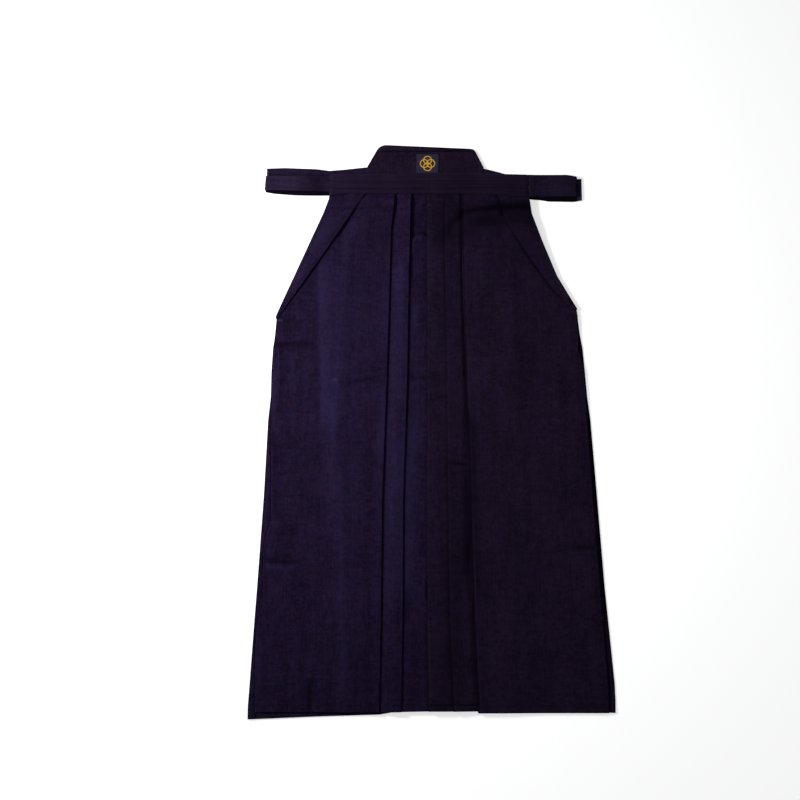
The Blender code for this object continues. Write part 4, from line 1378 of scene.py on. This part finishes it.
def ring_share(n, x, y, centre, radius, width):
    """1 on a ring of thread round a centre, 0 off it."""
    dx = n.minus(x, centre[0])
    dy = n.minus(y, centre[1])
    gap = n.math("SQRT", n.plus(n.times(dx, dx), n.times(dy, dy)))
    return n.math("LESS_THAN", n.math("ABSOLUTE", n.minus(gap, radius)), width / 2)


RING_PLACES = ((-6, 0), (6, 0), (0, -6), (0, 6))
RING_RADIUS = 7.2 * MM
RING_WIDTH = 1.9 * MM


def label_material():
    """Blue grey satin with four interlocked rings woven in gold thread."""
    material, n, shader = start_material("label satin")
    place = n.add("ShaderNodeUVMap", uv_map="grain").outputs[0]
    x, y = (n.minus(part, PATCH[axis]) for part, axis in zip(n.parts(place), "xy"))
    rows = n.math("ABSOLUTE", n.math("SINE", n.times(y, math.pi / (0.55 * MM))))
    cords = n.math("ABSOLUTE", n.math("SINE", n.times(x, math.pi / (0.4 * MM))))
    mottled = n.noise(place, (160, 420, 1), 3)
    ground = n.blend(mottled, (0.017, 0.015, 0.037), (0.044, 0.040, 0.088))
    ground = n.blend(n.times(rows, 0.35), ground, (0.010, 0.011, 0.024))
    rings = None
    for dx, dy in RING_PLACES:
        ring = ring_share(n, x, y, (dx * MM, dy * MM), RING_RADIUS, RING_WIDTH)
        rings = n.math("MAXIMUM", rings, ring) if rings else ring
    gold = n.blend(n.noise(place, (300, 900, 1), 2), (0.70, 0.30, 0.010),
                   (0.95, 0.62, 0.04))
    gold = n.blend(n.times(cords, 0.4), gold, (0.32, 0.10, 0.01))
    fill(shader, Specular_IOR_Level=0.06)
    height = n.plus(n.times(rings, 1.4), n.times(rows, 0.4))
    height = n.plus(height, n.times(cords, 0.3))
    roughness = n.minus(0.62, n.times(rings, 0.2))
    n.finish(shader, n.blend(rings, ground, gold), roughness, height, 0.6, 0.2 * MM)
    return material


def thread_material(name, dark, pale):
    """Twisted sewing thread."""
    material, n, shader = start_material(name)
    place = n.add("ShaderNodeTexCoord").outputs["Object"]
    twist = n.noise(place, (1500, 1500, 900), 2, 0.6)
    fill(shader, Specular_IOR_Level=0.25)
    roughness = n.plus(n.times(twist, 0.2), 0.55)
    n.finish(shader, n.blend(twist, dark, pale), roughness, twist, 0.5, 0.1 * MM)
    return material


STITCH_INPUTS = {"Geometry": "Geometry", "Pitch": "Float", "Length": "Float",
                 "Thickness": "Float", "Thread": "Material", "Seed": "Int"}
# Pitch, length and thickness of the stitches, and the seed of their unevenness
SEWING = {
    "band": (3.3, 2.5, 0.5, 3),
    "board": (3.4, 2.5, 0.5, 5),
    "front_hem": (4.2, 2.6, 0.45, 11),
    "label": (2.6, 1.8, 0.35, 17),
    "stop": (2.2, 2.4, 0.5, 23),
    "side_fold": (4.4, 2.2, 0.42, 29),
}


def stitch_tree():
    """Stitches along curves: spindles of thread, each a little unlike the next."""
    tree = bpy.data.node_groups.new("running stitches", "GeometryNodeTree")
    for name, kind in STITCH_INPUTS.items():
        tree.interface.new_socket(name, in_out="INPUT", socket_type="NodeSocket" + kind)
    tree.interface.new_socket("Geometry", in_out="OUTPUT",
                              socket_type="NodeSocketGeometry")
    n = Nodes(tree)
    given = n.add("NodeGroupInput").outputs

    half = n.times(given["Length"], 0.5)
    near = n.made("ShaderNodeCombineXYZ", {"X": n.times(half, -1.0)})
    far = n.made("ShaderNodeCombineXYZ", {"X": half})
    line = n.made("GeometryNodeCurvePrimitiveLine", {"Start": near, "End": far})
    parted = n.made("GeometryNodeResampleCurve", {"Curve": line, "Count": 6})
    share = n.add("GeometryNodeSplineParameter").outputs["Factor"]
    hump = n.math("SINE", n.times(share, math.pi))
    rise = n.times(n.minus(hump, 0.75), n.times(given["Thickness"], 0.9))
    lift = n.made("ShaderNodeCombineXYZ", {"Z": rise})
    arched = n.made("GeometryNodeSetPosition", {"Geometry": parted, "Offset": lift})
    shaped = n.made("GeometryNodeSetCurveRadius",
                    {"Curve": arched, "Radius": n.plus(n.times(hump, 0.5), 0.5)})
    outline = n.made("GeometryNodeCurvePrimitiveCircle",
                     {"Resolution": 6, "Radius": n.times(given["Thickness"], 0.5)})
    spindle = n.made("GeometryNodeCurveToMesh",
                     {"Curve": shaped, "Profile Curve": outline, "Fill Caps": True})
    if "Scale" in spindle.node.inputs:
        n.join(n.add("GeometryNodeInputRadius").outputs[0], spindle.node.inputs["Scale"])

    def random(least, most, seed):
        value = n.made("FunctionNodeRandomValue", {2: least, 3: most, "Seed": seed},
                       data_type="FLOAT")
        return value.node.outputs[1]

    points = n.made("GeometryNodeCurveToPoints",
                    {"Curve": given["Geometry"], "Length": given["Pitch"]}, mode="LENGTH")
    turned = n.made("FunctionNodeAlignRotationToVector",
                    {"Vector": points.node.outputs["Tangent"]}, axis="X", pivot_axis="Z")
    small_turn = n.made("FunctionNodeAxisAngleToRotation",
                        {"Axis": (0, 0, 1), "Angle": random(-0.09, 0.09, given["Seed"])})
    both = n.made("FunctionNodeRotateRotation", {0: turned, 1: small_turn},
                  rotation_space="LOCAL")
    size = random(0.9, 1.1, n.plus(given["Seed"], 1.0))
    placed = n.made("GeometryNodeInstanceOnPoints",
                    {"Points": points, "Instance": spindle, "Rotation": both,
                     "Scale": size})
    real = n.made("GeometryNodeRealizeInstances", {0: placed})
    smooth = n.made("GeometryNodeSetShadeSmooth", {0: real})
    coloured = n.made("GeometryNodeSetMaterial",
                      {"Geometry": smooth, "Material": given["Thread"]})
    n.join(coloured, n.add("NodeGroupOutput").inputs[0])
    return tree


def stitches(name, kind, lines, thread, tree):
    """Rows of stitches of one kind along lines of points, as one plain mesh."""
    curve = bpy.data.curves.new(name, "CURVE")
    curve.dimensions = "3D"
    for line in lines:
        spline = curve.splines.new("POLY")
        spline.points.add(len(line) - 1)
        spline.points.foreach_set("co", np.column_stack([line, np.ones(len(line))]).ravel())
    guide = bpy.data.objects.new(name + "_guide", curve)
    bpy.context.scene.collection.objects.link(guide)
    modifier = guide.modifiers.new("stitches", "NODES")
    modifier.node_group = tree
    pitch, length, thickness, seed = SEWING[kind]
    sizes = {"Pitch": pitch * MM, "Length": length * MM, "Thickness": thickness * MM,
             "Thread": thread, "Seed": seed}
    for item in tree.interface.items_tree:
        if item.in_out == "INPUT" and item.name in sizes:
            modifier[item.identifier] = sizes[item.name]
    bpy.context.view_layer.update()
    shaped = guide.evaluated_get(bpy.context.evaluated_depsgraph_get())
    mesh = bpy.data.meshes.new_from_object(shaped)
    mesh.name = name
    bpy.data.objects.remove(guide, do_unlink=True)
    piece = bpy.data.objects.new(name, mesh)
    bpy.context.scene.collection.objects.link(piece)
    return piece


def on_front(x, y):
    """Points on the front's surface."""
    z = Layers(y).visible_top(x) + front_relief(x, y) + WALL / 2
    return np.column_stack([x, y, z])


def hem_line(start, end):
    """A stitching line above the front's hem, across one visible strip."""
    x = np.linspace(start, end, max(3, round(abs(end - start) / (4 * MM))))
    row = np.full(len(x), HEM + HEM_DEPTH)
    y = row + (HEMS.at(x, "front") - HEM) * ramp(row, HEM_BLEND, HEM)
    z = Layers(row).visible_top(x) + WALL / 2 + front_relief(x, y) + hem_relief(row)
    return np.column_stack([x, y, z])


def add_stitching(tree, threads):
    """All the sewing that shows, one piece for each part that carries it."""
    made = []

    def sew(kind, node, lines, thread, side=""):
        name = kind + "_stitches" + side
        made.append((stitches(name, kind, lines, threads[thread], tree), node + side))

    inset = 3 * MM
    x = np.arange(BAND_LEFT + inset, BAND_RIGHT - inset, 2 * MM)
    rows = []
    for row in BAND_STITCHING:
        y = band_row(row, x)
        rows.append(np.column_stack([x, y, band_surface(x, y) + WALL / 2]))
    sew("band", "front_band", rows, "band")

    places = along(BOARD_STITCHING, np.linspace(0.01, 0.99, 90)) * MM
    z = board_top(places[:, 0], places[:, 1], np.full(90, 7 * MM))
    sew("board", "back_board", [np.column_stack([places, z])], "band")

    s = Layers(np.array([HEM + HEM_DEPTH]))
    folds = [float(place[0]) for place in (s.first, s.second, s.third, s.fourth, s.fifth)]
    edges = [float(SIDES.at(HEM, "front_left")), *folds,
             float(SIDES.at(HEM, "front_right"))]
    clear = 2 * MM
    lines = [hem_line(a + clear, b - clear) for a, b in zip(edges, edges[1:])]
    sew("front_hem", "front", lines[:3], "cloth", "_left")
    sew("front_hem", "front", lines[3:], "cloth", "_right")

    half_x = PATCH["width"] / 2 - 1.6 * MM
    half_y = PATCH["height"] / 2 - 1.6 * MM
    box = [(-half_x, -half_y), (half_x, -half_y), (half_x, half_y), (-half_x, half_y),
           (-half_x, -half_y)]
    ring = along(box, np.linspace(0, 1, 80)) + np.array([PATCH["x"], PATCH["y"]])
    z = np.full(len(ring), PATCH_FLOOR + PATCH_WALL - 0.1 * MM)
    sew("label", "label_patch", [np.column_stack([ring, z])], "band")

    for side, sign in SIDE_SIGNS.items():
        stop = SIDE_FOLD_ENDS[side]
        lines = []
        for step in range(5):
            y = np.full(4, stop - 2 * MM - step * 0.8 * MM)
            outer = float(SIDES.at(y[0], "front_" + side))
            x = np.linspace(outer - sign * 4 * MM, outer - sign * 11 * MM, 4)
            lines.append(on_front(x, y))
        sew("stop", "front", lines, "stop" if side == "left" else "band", "_" + side)

        y = np.linspace(BAND_FOOT - 6 * MM, stop + 16 * MM, 70)
        wide = np.abs(SIDE_FOLDS.at(y, side) - SIDES.at(y, "front_" + side))
        points = on_front(SIDE_FOLDS.at(y, side) + sign * SIDE_FOLD_SEAM, y)
        share = 1 - SIDE_FOLD_SEAM / wide
        points[:, 2] += fold_crown(side, y, share, wide) - 0.1 * MM
        sew("side_fold", "side_fold", [points], "cloth", "_" + side)
    return made


def place_camera():
    data = bpy.data.cameras.new("overhead")
    data.sensor_width = 36
    data.lens = 85
    data.clip_end = 60
    camera = bpy.data.objects.new("overhead", data)
    camera.location = (-0.0577, 0.0598, 3.485)
    bpy.context.scene.collection.objects.link(camera)
    bpy.context.scene.camera = camera


def area_light(name, place, aim, size, power, spread, colour):
    data = bpy.data.lights.new(name, "AREA")
    data.shape = "DISK"
    data.size = size
    data.energy = power
    data.spread = math.radians(spread)
    data.color = colour
    light = bpy.data.objects.new(name, data)
    light.location = place
    way = np.array(aim, float) - np.array(place, float)
    flat = math.hypot(way[0], way[1])
    light.rotation_euler = (math.atan2(flat, -way[2]), 0, math.atan2(way[1], way[0])
                            - math.pi / 2)
    bpy.context.scene.collection.objects.link(light)


def set_studio():
    """A pale floor, a soft key light from the upper left and a pale sky."""
    scene = bpy.context.scene
    scene.view_settings.view_transform = "Standard"
    scene.view_settings.look = "None"
    mesh = bpy.data.meshes.new("floor")
    reach = 9
    mesh.from_pydata([(-reach, -reach, 0), (reach, -reach, 0), (reach, reach, 0),
                      (-reach, reach, 0)], [], [(0, 1, 2, 3)])
    floor = bpy.data.objects.new("floor", mesh)
    floor.location.z = -0.3 * MM
    scene.collection.objects.link(floor)
    material, _, shader = start_material("pale floor")
    fill(shader, Base_Color=(0.9, 0.9, 0.9, 1), Roughness=0.95, Specular_IOR_Level=0.1,
         Emission_Color=(1, 1, 1, 1), Emission_Strength=0.6)
    mesh.materials.append(material)
    world = bpy.data.worlds.new("pale sky")
    world.use_nodes = True
    fill(world.node_tree.nodes["Background"], Color=(0.96, 0.97, 1.0, 1), Strength=0.2)
    scene.world = world
    area_light("key", (-1.38, 0.50, 0.74), (0, 0.08, 0), 0.42, 13.4, 115, (1.0, 1.0, 1.0))


def cover(node, made, material):
    """Gives a finished piece its material slot and its body, and hides the imported part it
    stands for.
    """
    piece, size, area = made
    piece.data.materials.append(material)
    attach(piece, "root")
    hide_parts(node)


def main():
    place_camera()
    set_studio()
    cottons = {key: cotton(*dyed) for key, dyed in COTTONS.items()}
    threads = {
        "stop": thread_material("stop thread", (0.020, 0.014, 0.036),
                                (0.060, 0.046, 0.092)),
        "cloth": thread_material("indigo thread", (0.007, 0.004, 0.014),
                                 (0.020, 0.013, 0.036)),
        "band": thread_material("pale indigo thread", (0.010, 0.006, 0.018),
                                (0.026, 0.018, 0.044)),
    }
    panels = (
        ("back_left", back_left_path, "laid", ("back_right",)),
        ("back_right", back_right_path, "folded", ()),
        ("front_left", front_left_path, "folded", ("back_left", "back_right")),
        ("front_right", front_right_path, "folded", ("back_right", "back_left")),
    )
    for name, path_of, held, rests_on in panels:
        cover(name, panel(name, path_of), cottons[name.split("_")[1]])
    for side in SIDE_SIGNS:
        cover("side_fold_" + side, side_fold(side), cottons[side])
    cover("front_band", build_band(), cottons["band"])
    for name in TIES:
        cover(name, build_tie(name), cottons["tie"])
    cover("back_board", (build_board(), None, None), cottons["board"])
    cover("label_patch", (build_label(), (PATCH["width"], PATCH["height"]), None),
          label_material())
    for piece, node in add_stitching(stitch_tree(), threads):
        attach(piece, "root")


main()
